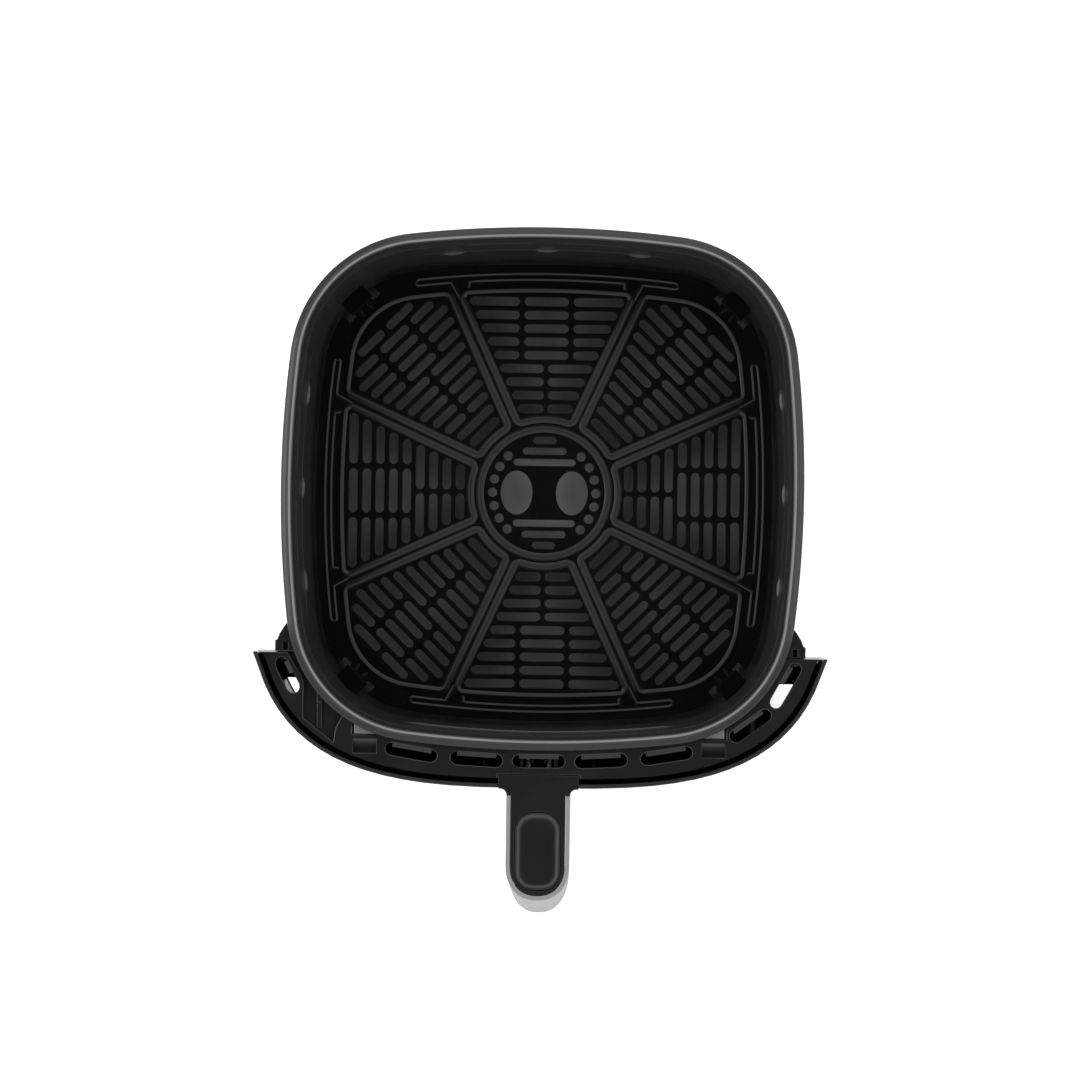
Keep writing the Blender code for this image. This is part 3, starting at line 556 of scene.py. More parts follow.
    @staticmethod
    def softened(node: str, name: str, width: float, keep: Callable[[Edge], bool], segments: int = 2,
                 inner_from: Vector | None = None) -> Obj:
        """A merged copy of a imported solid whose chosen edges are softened.

        Args:
            node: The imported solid's name.
            name: The new object's name.
            width: The width of the softened edges.
            keep: Says which sharp edges are softened.
            segments: Steps across a softened edge.
            inner_from: A point that the faces to be shaded flat look towards, if there are any.

        Returns:
            The copy.
        """
        made = bpy.data.objects.new(name, bpy.data.objects[node].data.copy())
        made.data.materials.clear()
        bpy.context.scene.collection.objects.link(made)
        Bench.weld(made, outward=False)
        with Bench.editing(made):
            bpy.ops.mesh.select_all(action="SELECT")
            bpy.ops.mesh.dissolve_limited(angle_limit=math.radians(0.4), use_dissolve_boundaries=False)
            bpy.ops.mesh.select_all(action="DESELECT")
            bpy.ops.mesh.select_mode(type="EDGE")
            for edge in bmesh.from_edit_mesh(made.data).edges:
                if edge.is_manifold and edge.calc_face_angle(0.0) > math.radians(40) and keep(edge):
                    edge.select_set(True)
            bmesh.update_edit_mesh(made.data)
            bpy.ops.mesh.bevel(offset=width, offset_type="OFFSET", segments=segments, clamp_overlap=False,
                               miter_outer="SHARP", loop_slide=True)
            bpy.ops.mesh.select_all(action="DESELECT")
            bpy.ops.mesh.select_mode(type="VERT")
        Bench.smooth(made, MOULDED, inner_from)
        return made


# --- Finishes ------------------------------------------------------------------------------------------


def add_node(tree: Tree, kind: str, inputs: dict | None = None, **settings: object) -> Node:
    """Add a shader node, set its options and feed its inputs.

    Args:
        tree: The node tree.
        kind: The node's type, without its first word.
        inputs: A value or a socket for each input, by name or number.
        settings: The node's options.

    Returns:
        The node.
    """
    node = tree.nodes.new("ShaderNode" + kind)
    for setting, value in settings.items():
        setattr(node, setting, value)
    for label, value in (inputs or {}).items():
        if isinstance(value, Socket):
            tree.links.new(value, node.inputs[label])
        else:
            node.inputs[label].default_value = value
    return node


def add_math(tree: Tree, operation: str, *values: float | Socket) -> Socket:
    """The result of one sum on sockets or numbers."""
    return add_node(tree, "Math", dict(enumerate(values)), operation=operation).outputs[0]


def add_mix(tree: Tree, factor: Socket, low: Grey | Socket, high: Grey | Socket) -> Socket:
    """Two colours, or a socket and a colour, mixed by a mask."""
    ends = [(*value, 1.0) if isinstance(value, tuple) else value for value in (low, high)]
    return add_node(tree, "Mix", {"Factor": factor, 6: ends[0], 7: ends[1]}, data_type="RGBA").outputs[2]


class NodeGroups:
    """The effects that more than one finish uses, each a node group that is built once."""

    @staticmethod
    def _start(name: str, inputs: dict[str, float], outputs: Sequence[str]) -> tuple[Tree, dict, dict]:
        """A new group of float inputs and outputs, and the sockets at its two ends.

        Args:
            name: The group's name.
            inputs: Each float input with its value.
            outputs: The outputs' names.

        Returns:
            The group, what it is given and what it puts out.
        """
        tree = bpy.data.node_groups.new(name, "ShaderNodeTree")
        tree.interface.new_socket("Vector", in_out="INPUT", socket_type="NodeSocketVector")
        for label, value in inputs.items():
            socket = tree.interface.new_socket(label, in_out="INPUT", socket_type="NodeSocketFloat")
            socket.default_value = value
        for label in outputs:
            tree.interface.new_socket(label, in_out="OUTPUT", socket_type="NodeSocketFloat")
        return tree, tree.nodes.new("NodeGroupInput").outputs, tree.nodes.new("NodeGroupOutput").inputs

    @staticmethod
    @cache
    def grain() -> Tree:
        """Fine moulded or sprayed grain: Height for a bump, and a Mask that no finish uses.

        Returns:
            The node group.
        """
        tree, given, result = NodeGroups._start("surface_grain", {"Scale": 1500.0, "Coarse": 300.0},
                                                ("Height", "Mask"))
        fine, coarse = (add_node(tree, "TexNoise", {"Vector": given["Vector"], "Scale": given[label],
                                                    "Detail": detail}).outputs["Fac"]
                        for label, detail in (("Scale", 2.0), ("Coarse", 3.0)))
        tree.links.new(add_math(tree, "MULTIPLY_ADD", fine, 0.6, coarse), result["Height"])
        tree.links.new(coarse, result["Mask"])
        return tree

    @staticmethod
    @cache
    def flecks() -> Tree:
        """Tiny bright flecks in a coating.

        Returns:
            The node group.
        """
        tree, given, result = NodeGroups._start("coating_flecks", {"Scale": 900.0, "Size": 0.16}, ("Mask",))
        cells = add_node(tree, "TexVoronoi", {"Vector": given["Vector"], "Scale": given["Scale"]})
        sparse = add_node(tree, "TexNoise", {"Vector": given["Vector"], "Scale": 420.0})
        small = add_math(tree, "LESS_THAN", cells.outputs["Distance"], given["Size"])
        pick = add_math(tree, "GREATER_THAN", sparse.outputs["Fac"], 0.6)
        tree.links.new(add_math(tree, "MULTIPLY", small, pick), result["Mask"])
        return tree

    @staticmethod
    @cache
    def handling() -> Tree:
        """Broad soft patches where a surface has been wiped and handled.

        Returns:
            The node group.
        """
        tree, given, result = NodeGroups._start("handling_marks", {"Scale": 22.0, "Contrast": 1.6}, ("Mask",))
        patches = add_node(tree, "TexNoise", {"Vector": given["Vector"], "Scale": given["Scale"],
                                              "Detail": 4.0, "Distortion": 0.6})
        shift = add_math(tree, "SUBTRACT", patches.outputs["Fac"], 0.5)
        stretch = add_node(tree, "Math", {0: shift, 1: given["Contrast"], 2: 0.5}, operation="MULTIPLY_ADD",
                           use_clamp=True)
        tree.links.new(stretch.outputs[0], result["Mask"])
        return tree


@dataclass(frozen=True)
class Finish:
    """One procedural finish on a Principled shader."""

    name: str
    colour: Grey
    roughness: float
    metallic: float = 0.0
    roughness_spread: float = 0.08
    tone_spread: float = 0.25
    grain_scale: float = 1500.0
    grain_coarse: float = 350.0
    grain_depth: float = 0.02 * MM
    flecks: float = 0.0
    fleck_colour: Grey = (0.12, 0.12, 0.12)
    specular: float = 0.5

    def make(self) -> bpy.types.Material:
        """The finish as a material.

        Returns:
            The material.
        """
        made = bpy.data.materials.new(self.name)
        made.use_nodes = True
        tree = made.node_tree
        shader = tree.nodes["Principled BSDF"].inputs
        shader["Metallic"].default_value = self.metallic
        shader["Specular IOR Level"].default_value = self.specular
        place = add_node(tree, "TexCoord").outputs["Object"]
        grain = self._group(tree, NodeGroups.grain(), place, Scale=self.grain_scale, Coarse=self.grain_coarse)
        marks = self._group(tree, NodeGroups.handling(), place)["Mask"]
        colour = self.dress(tree, place, add_mix(tree, marks, self._tone(-1), self._tone(1)))
        if self.flecks:
            flecks = self._group(tree, NodeGroups.flecks(), place, Size=self.flecks)
            colour = add_mix(tree, flecks["Mask"], colour, self.fleck_colour)
        low, high = self.roughness - self.roughness_spread, self.roughness + self.roughness_spread
        roughness = add_node(tree, "MapRange", {"Value": marks, "To Min": low, "To Max": high}).outputs[0]
        height = grain["Height"]
        # painted shade: where the mask is set, the colour goes near black, smooth and without grain
        gap_shade = self.black_shade_mask(tree, place)
        if gap_shade is not None:
            shown = add_math(tree, "SUBTRACT", 1.0, gap_shade)
            colour = add_mix(tree, gap_shade, colour, (0.001, 0.001, 0.001))
            roughness = add_math(tree, "MAXIMUM", add_math(tree, "MULTIPLY", roughness, shown), 0.05)
            height = add_math(tree, "MULTIPLY", height, shown)
        bump = add_node(tree, "Bump", {"Distance": self.grain_depth, "Strength": 1.0, "Height": height})
        for label, source in (("Base Color", colour), ("Roughness", roughness), ("Normal", bump.outputs[0])):
            tree.links.new(source, shader[label])
        return made

    def dress(self, tree: Tree, place: Socket, colour: Socket) -> Socket:
        """The base colour with what is special to this finish; plain finishes add nothing."""
        return colour

    def black_shade_mask(self, tree: Tree, place: Socket) -> Socket | None:
        """A mask of the walls painted smooth and black as shade; plain finishes have none."""
        return None

    def _tone(self, way: int) -> Grey:
        """The colour made lighter or darker by the finish's spread."""
        return tuple(c * (1 + way * self.tone_spread) for c in self.colour)

    @staticmethod
    def _group(tree: Tree, group: Tree, place: Socket, **values: float) -> bpy.types.NodeOutputs:
        """The outputs of a group placed in a material with its own values."""
        return add_node(tree, "Group", {"Vector": place, **values}, node_tree=group).outputs


@dataclass(frozen=True)
class PanFinish(Finish):
    """The pan's coating: paler on the floor's middle than on the wall as painted light, darker on the outer
    floor and on the flange as painted shade, and with a painted highlight along the rim's crest.
    """

    # painted light: the floor's pale middle stands in for light through the plate; painted shade: the darker
    # floor farther out, under the plate
    floor_painted_light: Grey = (0.24, 0.24, 0.24)
    floor_painted_shade: Grey = (0.105, 0.105, 0.105)
    # painted shade: the flange is darkened to tone down how bright its top renders
    flange_painted_shade: Grey = (0.014, 0.014, 0.014)
    # painted highlight: a pale band along the rim's crest stands in for its specular highlight
    crest_painted_highlight: Grey = (0.17, 0.17, 0.17)
    floor_light_span: Point2 = (5 * MM, 15 * MM)
    floor_shade_reach: Point2 = (10 * MM, 46 * MM)
    flange_shade_span: Point2 = (92.6 * MM, 93.6 * MM)
    crest_highlight_span: Point2 = (95.95 * MM, 96.14 * MM)

    def dress(self, tree: Tree, place: Socket, colour: Socket) -> Socket:
        """The wall's colour between the painted floor light and shade, the painted flange shade and the
        painted crest highlight.

        Args:
            tree: The material's node tree.
            place: The point on the surface.
            colour: The wall's colour.

        Returns:
            The colour at that point.
        """
        flat = add_node(tree, "VectorMath", {0: place, 1: (1.0, 1.0, 0.0)}, operation="MULTIPLY")
        reach = add_node(tree, "VectorMath", {0: flat.outputs["Vector"]}, operation="LENGTH").outputs["Value"]
        height = add_node(tree, "SeparateXYZ", {0: place}).outputs["Z"]
        # the layers paint light and shade: outer-floor shade, then the wall, flange shade and the crest
        # highlight
        layers = ((reach, self.floor_shade_reach, self.floor_painted_shade), (height, self.floor_light_span, colour),
                  (height, self.flange_shade_span, self.flange_painted_shade),
                  (height, self.crest_highlight_span, self.crest_painted_highlight))
        shade: Grey | Socket = self.floor_painted_light
        for value, span, layer in layers:
            blend = add_node(tree, "MapRange", {"Value": value, "From Min": span[0], "From Max": span[1]},
                             interpolation_type="SMOOTHSTEP")
            shade = add_mix(tree, blend.outputs["Result"], shade, layer)
        return shade


@dataclass(frozen=True)
class FasciaFinish(Finish):
    """The fascia's finish, with its inner wall painted smooth and black as painted shade, so the gap stays
    dark.
    """

    half: float = 139.2 * MM
    reach: float = 114.9 * MM
    middle_y: float = 27.0 * MM
    power: float = 3.164
    top: float = 91.1 * MM

    def black_shade_mask(self, tree: Tree, place: Socket) -> Socket | None:
        """The mask of the inner wall below the top edge, where black is painted as shade.

        Args:
            tree: The material's node tree.
            place: The point on the surface.

        Returns:
            The mask, 1 on the inner wall.
        """
        split = add_node(tree, "SeparateXYZ", {0: place}).outputs
        terms = []
        for axis, shift, reach in (("X", 0.0, self.half), ("Y", self.middle_y, self.reach)):
            size = add_math(tree, "ABSOLUTE", add_math(tree, "ADD", split[axis], shift))
            terms.append(add_math(tree, "POWER", add_math(tree, "DIVIDE", size, reach), self.power))
        inner = add_math(tree, "LESS_THAN", add_math(tree, "ADD", *terms), 1.0)
        return add_math(tree, "MULTIPLY", inner, add_math(tree, "LESS_THAN", split["Z"], self.top))


FINISHES: dict[Slot, Finish] = {
    Slot.PAN: PanFinish("pan_coating", (0.030, 0.030, 0.0305), 0.24, tone_spread=0.06, roughness_spread=0.03,
                        flecks=0.14, fleck_colour=(0.07, 0.07, 0.07), grain_depth=0.012 * MM, specular=0.26),
    Slot.PLATE: Finish("plate_coating", (0.0025, 0.0025, 0.0025), 0.24, roughness_spread=0.03, flecks=0.12,
                       fleck_colour=(0.02, 0.02, 0.02), grain_depth=0.012 * MM, specular=0.25),
    Slot.SILICONE: Finish("black_silicone", (0.0015, 0.0015, 0.0015), 0.42, grain_depth=0.01 * MM,
                          specular=0.1),
    Slot.PLASTIC: Finish("moulded_black", (0.0055, 0.0056, 0.0061), 0.30, roughness_spread=0.03,
                         grain_scale=2600.0, grain_coarse=900.0, grain_depth=0.012 * MM),
    Slot.FASCIA: FasciaFinish("fascia_black", (0.020, 0.020, 0.0205), 0.27, roughness_spread=0.03,
                              grain_scale=2600.0, grain_coarse=900.0, grain_depth=0.008 * MM),
    Slot.TRIM: Finish("silver_paint", (0.215, 0.215, 0.212), 0.44, roughness_spread=0.04,
                      tone_spread=0.04, grain_scale=3200.0, grain_coarse=1400.0, grain_depth=0.006 * MM,
                      specular=0.07),
    Slot.SOFT: Finish("soft_touch_black", (0.0042, 0.0042, 0.0044), 0.31, roughness_spread=0.03,
                      grain_scale=3000.0, grain_coarse=1200.0, grain_depth=0.012 * MM),
    Slot.STEEL: Finish("zinc_plate", (0.19, 0.19, 0.187), 0.38, metallic=0.25, tone_spread=0.1,
                       roughness_spread=0.08, grain_depth=0.01 * MM),
}


class Catalogue:
    """The finishes as materials, and the last steps that every piece goes through."""

    def __init__(self) -> None:
        """Make every finish once."""
        self.materials = {slot: finish.make() for slot, finish in FINISHES.items()}

    def dress(self, piece: Obj, slot: Slot, node: str, body: str = DRAWER) -> None:
        """Give a piece its finish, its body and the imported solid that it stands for.

        Args:
            piece: The finished piece.
            slot: The record's slot of its finish.
            node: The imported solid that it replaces.
            body: The body that it rides on.
        """
        piece.data.materials.clear()
        piece.data.materials.append(self.materials[slot])
        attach(piece, body)
        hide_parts(node)
        LOG.info("%s: %d faces, finish %s, body %s", piece.name, len(piece.data.polygons), slot.value, body)


# --- Pan -----------------------------------------------------------------------------------------------


@dataclass
class Pan:
    """The deep-drawn pan with its rolled rim, pressed wall bumps and round foot."""

    catalogue: Catalogue
    rim: float
    flange: BowedSquare = field(default_factory=lambda: BowedSquare(125.0 * MM, 64.7 * MM))
    wall_half: float = 118.8 * MM
    wall_corner: float = 58.5 * MM
    foot_half: float = 117.2 * MM
    foot_corner: float = 53.0 * MM
    fillet: float = 13.0 * MM
    depth: float = 95.0 * MM
    sheet: float = 1.15 * MM
    ring_level: float = -15.8 * MM
    bump_level: float = -42.0 * MM
    bump_height: float = 1.5 * MM
    bump_half: float = 6.0 * MM
    bump_places: tuple[float, ...] = (-45.5 * MM, 0.0, 45.5 * MM)
    lip: tuple[Point2, ...] = ((0.35, -4.15), (0.0, -3.6), (0.1, -2.7), (0.5, -2.15), (1.2, -1.8),
                               (2.2, -1.35), (3.1, -0.72), (3.7, -0.2), (4.1, 0.0), (4.6, -0.06),
                               (5.1, -0.3), (5.6, -0.85), (5.95, -1.6), (6.12, -2.6))

    def levels(self) -> list[tuple[float, float, float]]:
        """Each ring's half width, corner radius and height below the rim, from the lip to the floor.

        Returns:
            One row for each ring.
        """
        rows = [(self.flange.half - inset * MM, self.flange.corner - inset * MM, z * MM)
                for inset, z in self.lip]
        foot = self.fillet - self.depth
        heights = [-3.6, -5.0, -9.0, -13.0, -15.0, -15.6, -15.75, -15.9, -16.05, -16.7, -19.0, -25.0, -31.0]
        heights += [-36.0, -39.5, -40.8, -41.3] + [-41.6 - 0.1 * i for i in range(13)]
        heights += [-43.2, -43.7, -44.2, -44.8]
        heights += [-47.0, -50.0, -56.0, -64.0, -72.0, -78.0]
        for height in heights:
            t = (-3.6 - height) / (-3.6 - foot / MM)
            rows.append((self.wall_half + (self.foot_half - self.wall_half) * t,
                         self.wall_corner + (self.foot_corner - self.wall_corner) * t, height * MM))
        for i in range(15):
            a = math.radians(90 * i / 14)
            drawn = self.fillet * (1 - math.cos(a))
            rows.append((self.foot_half - drawn, self.foot_corner - drawn, foot - self.fillet * math.sin(a)))
        rows.append((self.foot_half - self.fillet - 6 * MM, self.foot_corner - self.fillet - 4 * MM,
                     -self.depth))
        return rows

    def push(self, x: float, y: float, z: float) -> float:
        """How far the wall is pressed inwards at a point.

        Args:
            x: The point's x.
            y: The point's y.
            z: The point's height over the rim.

        Returns:
            The way from the drawn wall to the pressed one.
        """
        ring = 0.28 * MM * self._step((self.ring_level - z) / (0.4 * MM) + 0.5)
        ring *= self._step((z - self.ring_level + 9 * MM) / (7 * MM))
        front = y < 0 and abs(x) < abs(y)
        along = x if abs(y) > abs(x) else y
        ledge = (0.75 if front else 0.3) * MM * self._step((self.bump_level - z) / (0.5 * MM) + 0.5)
        ledge *= self._step((z - self.bump_level + 14 * MM) / (10 * MM))
        ledge *= self._step((70 * MM - abs(along)) / (12 * MM))
        if front:
            return max(ring, ledge)
        for place in self.bump_places:
            across = 1 - ((along - place) / self.bump_half) ** 2
            if across > 0:
                rise = self._step((self.bump_level + 0.4 * MM - z) / (1.2 * MM))
                fall = self._step((z - self.bump_level + 2.8 * MM) / (1.6 * MM))
                return max(ledge, self.bump_height * math.sqrt(across) * rise * fall)
        return max(ring, ledge)

    @staticmethod
    def _step(t: float) -> float:
        """A smooth step from 0 to 1."""
        t = min(1.0, max(0.0, t))
        return t * t * (3 - 2 * t)

    def build(self) -> None:
        """Model the pan and dress it."""
        rings = []
        for half, corner, z in self.levels():
            points = BowedSquare(half, corner).points(44, 14)
            ring = []
            for x, y in points:
                press = self.push(x, y, z) if -60 * MM < z < -13.5 * MM else 0.0
                if abs(x) > abs(y):
                    x -= math.copysign(press, x)
                else:
                    y -= math.copysign(press, y)
                ring.append(Vector((x, y, self.rim + z)))
            rings.append(ring)
        pan = Bench.loft("pan_pressing", rings, cap=False)
        with Bench.editing(pan):
            bpy.ops.mesh.edge_face_add()
            bpy.ops.mesh.select_all(action="SELECT")
            bpy.ops.mesh.normals_make_consistent(inside=True)
        self._face_up(pan)
        Bench.modify(pan, "SOLIDIFY", thickness=self.sheet, offset=-1)
        Bench.smooth(pan, 50)
        self.catalogue.dress(pan, Slot.PAN, "pan")

    @staticmethod
    def _face_up(pan: Obj) -> None:
        """Turn the open skin so that its floor faces up.

        Args:
            pan: The skin.
        """
        floor = max(pan.data.polygons, key=lambda face: len(face.vertices))
        if floor.normal.z < 0:
            with Bench.editing(pan):
                bpy.ops.mesh.select_all(action="SELECT")
                bpy.ops.mesh.flip_normals()


# --- Crisper plate ----------------------------------------------------------------------------------------


@dataclass
class CrisperPlate:
    """The perforated plate with its pressed ridges and the bumpers on its corners."""

    catalogue: Catalogue
    top: float
    thick: float = 1.0 * MM
    edge: BowedSquare = field(default_factory=lambda: BowedSquare(114.0 * MM, 52.6 * MM))
    bead_ring: BowedSquare = field(default_factory=lambda: BowedSquare(102.1 * MM, 36.0 * MM, 530 * MM))
    track_outer: BowedSquare = field(default_factory=lambda: BowedSquare(110.0 * MM, 48.5 * MM))
    track_inner: BowedSquare = field(default_factory=lambda: BowedSquare(107.0 * MM, 45.5 * MM))
    slot_width: float = 4.2 * MM
    corner_slot_width: float = 3.95 * MM
    tongue_half: float = 7.0 * MM
    tongue_reach: float = 134.3 * MM
    slit_outer: float = 10.5 * MM
    slit_foot: float = 128.4 * MM
    bead: tuple[Point2, ...] = ((-1.9, -0.4), (1.9, -0.4), (1.9, 0.0), (1.74, 0.05), (1.55, 0.2),
                                (0.9, 0.45), (0.14, 0.7), (0.0, 0.72), (-0.14, 0.7), (-0.9, 0.45),
                                (-1.55, 0.2), (-1.74, 0.05), (-1.9, 0.0))
    fine_bead: tuple[Point2, ...] = ((-1.0, -0.4), (1.0, -0.4), (1.0, 0.0), (0.9, 0.05), (0.8, 0.13),
                                     (0.1, 0.38), (0.0, 0.39), (-0.1, 0.38), (-0.8, 0.13), (-0.9, 0.05),
                                     (-1.0, 0.0))
    corners: tuple[tuple[int, str], ...] = ((45, "back_right"), (135, "back_left"), (225, "front_left"),
                                            (315, "front_right"))

    def sector_slots(self) -> list[Loop]:
        """The slots of the +Y sector.

        Returns:
            The slots' outlines.
        """
        loops = []
        for row in range(9):
            y = (95.4 - 6.68 * row) * MM
            end = 13.2 * MM + 0.4655 * (y - 41.4 * MM)
            start = 13.5 * MM if row < 5 else 1.1 * MM
            if row < 5:
                loops.append(stadium(0, y, 22.0 * MM, self.slot_width))
            for side in Side:
                loops.append(stadium(side.value * (start + end) / 2, y, end - start, self.slot_width))
        return loops

    def corner_slots(self) -> list[Loop]:
        """The slots of a corner sector, with its diagonal along +Y.

        Returns:
            The slots' outlines.
        """
        ends = {0: 18.3 * MM, 1: 26.3 * MM, 2: 30.0 * MM}
        loops = []
        for row in range(12):
            y = (113.6 - 6.44 * row) * MM
            end = ends.get(row, 9.4 * MM + 0.3624 * (y - 42.7 * MM))
            if row >= 10:
                loops.append(stadium(0, y, 2 * end, self.corner_slot_width))
                continue
            threes = 1 <= row <= 4
            start = 11.85 * MM if threes else 1.3 * MM
            if threes:
                loops.append(stadium(0, y, 18.4 * MM, self.corner_slot_width))
            for side in Side:
                loops.append(stadium(side.value * (start + end) / 2, y, end - start, self.corner_slot_width))
        return loops

    def hub_holes(self) -> list[Loop]:
        """The finger holes, short slots and round holes of the hub.

        Returns:
            The holes' outlines.
        """
        loops = []
        for side in Side:
            sign = side.value
            loops.append([((sign * 13.8 + 7.85 * u) * MM, 10.95 * v * MM)
                          for u, v in arc((0, 0), 1, 0, 354, 59)])
            for y, length in ((15.2, 30.9), (20.8, 21.7), (26.2, 11.4)):
                loops.append(stadium(0, sign * y * MM, length * MM, 3.3 * MM))
            for step in range(-3, 4):
                a = math.radians(15 * step) + (0 if sign > 0 else math.pi)
                loops.append(arc((25.8 * MM * math.cos(a), 25.8 * MM * math.sin(a)), 2.25 * MM, 0, 345, 23))
        return loops

    def outline(self) -> Loop:
        """The plate's edge, with a tongue between two slits at each corner.

        Returns:
            The edge's points.
        """
        ring = self.edge.points(14, 12)
        outline: Loop = []
        for quarter in range(4):
            middle = 45 + 90 * quarter
            across = turned(ring, -middle)
            edge = sorted((p for p in across if p[0] > 0 and abs(p[1]) < p[0]), key=lambda p: p[1])
            before = [p for p in edge if p[1] < -self.slit_outer - 0.5 * MM]
            mouth = crossing(edge, -self.slit_outer)
            hook = self.slit_foot + 1.4 * MM
            slit = rounded([(mouth, -self.slit_outer, 0.8 * MM), (self.slit_foot, -self.slit_outer, 0.6 * MM),
                            (self.slit_foot, -5.9 * MM, 0.3 * MM), (hook, -5.9 * MM, 0.3 * MM),
                            (hook, -self.tongue_half, 0.2 * MM),
                            (self.tongue_reach, -self.tongue_half, 0.4 * MM)],
                           closed=False, step=30)
            mirrored = [(x, -y) for x, y in reversed(before + slit)]
            outline += turned(before + slit + mirrored, middle)
        return outline

    def sector_ridges(self) -> list[Loop]:
        """The closed ridge round the +Y sector and round the +X+Y corner sector.

        Returns:
            The two ridges' paths.
        """
        def side_x(y: float) -> float:
            """The x of the sector's side at a y."""
            return 14.4 * MM + 0.4594 * (y - 36.1 * MM)

        def corner_x(y: float) -> float:
            """The x of the corner sector's side at a y."""
            return 30.0 * MM + 0.4594 * (y - 58.5 * MM)

        run = self.bead_ring.top_run(-60 * MM, 60 * MM, 400)
        top = min(run, key=lambda p: abs(p[0] - side_x(p[1])))
        inner_angle = self._inner_angle(side_x, 37.0 * MM)
        inner = arc((0, 0), 37.0 * MM, 90 - inner_angle, 90 + inner_angle, 14)
        outer = self.bead_ring.top_run(6 * MM - top[0], top[0] - 6 * MM, 20)
        corners = [(top[0], top[1], 3.2 * MM)] + [(x, y, 0.0) for x, y in reversed(outer)]
        corners += [(-top[0], top[1], 3.2 * MM)]
        corners += [(inner[-1][0], inner[-1][1], 3.4 * MM)] + [(x, y, 0.0) for x, y in reversed(inner[3:-3])]
        corners += [(inner[0][0], inner[0][1], 3.4 * MM)]
        straight = rounded(corners, closed=True)

        ring = self.bead_ring.octant(60, 60)
        high = min(((y, x) for x, y in ring), key=lambda p: abs(p[0] - corner_x(p[1])))
        bend = [p for p in ring if p[1] > high[0] + 4 * MM]
        outer = bend + [(y, x) for x, y in reversed(bend[:-1])]
        low_angle = 90 - self._inner_angle(corner_x, 37.3 * MM)
        inner = arc((0, 0), 37.3 * MM, 90 - low_angle, low_angle, 10)
        corners = [(high[1], high[0], 3.4 * MM)] + [(x, y, 0.0) for x, y in outer[::3]]
        corners += [(high[0], high[1], 3.4 * MM), (inner[-1][0], inner[-1][1], 3.0 * MM)]
        corners += [(x, y, 0.0) for x, y in reversed(inner[2:-2])] + [(inner[0][0], inner[0][1], 3.0 * MM)]
        return [straight, rounded(corners, closed=True)]

    @staticmethod
    def _inner_angle(side_x: Callable[[float], float], radius: float) -> float:
        """The angle off the sector's middle at which its side meets the inner arc, in degrees.

        Args:
            side_x: Gives the x of the sector's side at a y.
            radius: The inner arc's radius.

        Returns:
            The angle.
        """
        angle = 0.0
        for _ in range(60):
            angle = math.asin(min(1.0, side_x(radius * math.cos(angle)) / radius))
        return math.degrees(angle)

    def tracks(self) -> list[Loop]:
        """The fine ridges between the +Y sector and the plate's edge.

        Returns:
            The two ridges' paths.
        """
        far, near, mid = 64.1 * MM, 47.8 * MM, 39.2 * MM
        top = self.track_outer.top_run(-far, far, 40)
        under = self.track_inner.top_run(near, far, 8)
        high, low = top[-1][1], under[-1][1]
        right_end = arc((far, (high + low) / 2), (high - low) / 2, 90, -90, 8)[1:-1]
        joint = (43.4 * MM, 96.8 * MM)
        right = top + right_end + list(reversed(under)) + [joint]
        left = [(-x, y) for x, y in right_end + list(reversed(under)) + [joint]]
        outer = list(reversed(left)) + right
        middle = self.track_inner.top_run(-mid, mid, 30)
        drop = self.bead_ring.top_run(-mid, mid, 2)
        first = (-mid - 0.2 * MM, drop[0][1] + 0.4 * MM)
        last = (mid + 0.2 * MM, drop[-1][1] + 0.4 * MM)
        return [outer, [first] + middle + [last]]

    def build(self) -> None:
        """Model the plate and dress it."""
        holes = self.hub_holes()
        for quarter in range(4):
            holes += [turned(loop, 90 * quarter) for loop in self.sector_slots()]
            holes += [turned(loop, 90 * quarter - 45) for loop in self.corner_slots()]
        loops = [self.outline()] + holes
        plate = Bench.flat("plate_pressing", loops, self.top - self.thick, self.top, 0.22 * MM)
        Bench.smooth(plate, 16)
        bead = [(x * MM, z * MM) for x, z in self.bead]
        fine = [(x * MM, z * MM) for x, z in self.fine_bead]
        ridges = [Bench.ridge("hub_ridge", arc((0, 0), 32.1 * MM, 0, 357, 119), True, bead, self.top)]
        for quarter in range(4):
            for path in self.sector_ridges():
                ridges.append(Bench.ridge("sector_ridge", turned(path, 90 * quarter), True, bead, self.top))
            for path in self.tracks():
                ridges.append(Bench.ridge("track", turned(path, 90 * quarter), False, fine, self.top))
            for side in Side:
                rib = [(125.6 * MM, side.value * 3.4 * MM), (129.7 * MM, side.value * 2.5 * MM)]
                ridges.append(Bench.ridge("rib", turned(rib, 45 + 90 * quarter), False, fine, self.top))
        for ridge in ridges:
            Bench.smooth(ridge, 48)
        plate = Bench.join(plate, ridges)
        self.catalogue.dress(plate, Slot.PLATE, "crisper_plate", TRAY)

    def build_bumpers(self) -> None:
        """Model the silicone clips on the plate's tongues and dress them."""
        lip, foot, top = self.top + 0.3 * MM, self.top - 2.6 * MM, self.top + 1.5 * MM
        under = self.top - self.thick - 0.3 * MM
        inner, slot_end, outer = 129.95 * MM, self.tongue_reach + 0.3 * MM, 137.6 * MM
        profile = [(inner, lip), (slot_end, lip), (slot_end, under), (inner, under), (inner, foot),
                   (outer - 1.2 * MM, foot), (outer, foot + 1.2 * MM), (outer, top), (inner, top)]
        for angle, word in self.corners:
            clip = Bench.flat("bumper_clip_" + word, [profile], -self.tongue_half, self.tongue_half)
            along = Vector((math.cos(math.radians(angle)), math.sin(math.radians(angle)), 0))
            across = along.cross(Vector((0, 0, 1)))
            Bench.place(clip, Matrix((along, (0, 0, 1), across)).transposed().to_4x4())
            Bench.weld(clip)
            Bench.modify(clip, "BEVEL", width=0.35 * MM, segments=3, limit_method="ANGLE",
                         angle_limit=math.radians(30))
            Bench.smooth(clip, 60)
            self.catalogue.dress(clip, Slot.SILICONE, "bumper_" + word, TRAY)


# --- Front ---------------------------------------------------------------------------------------------


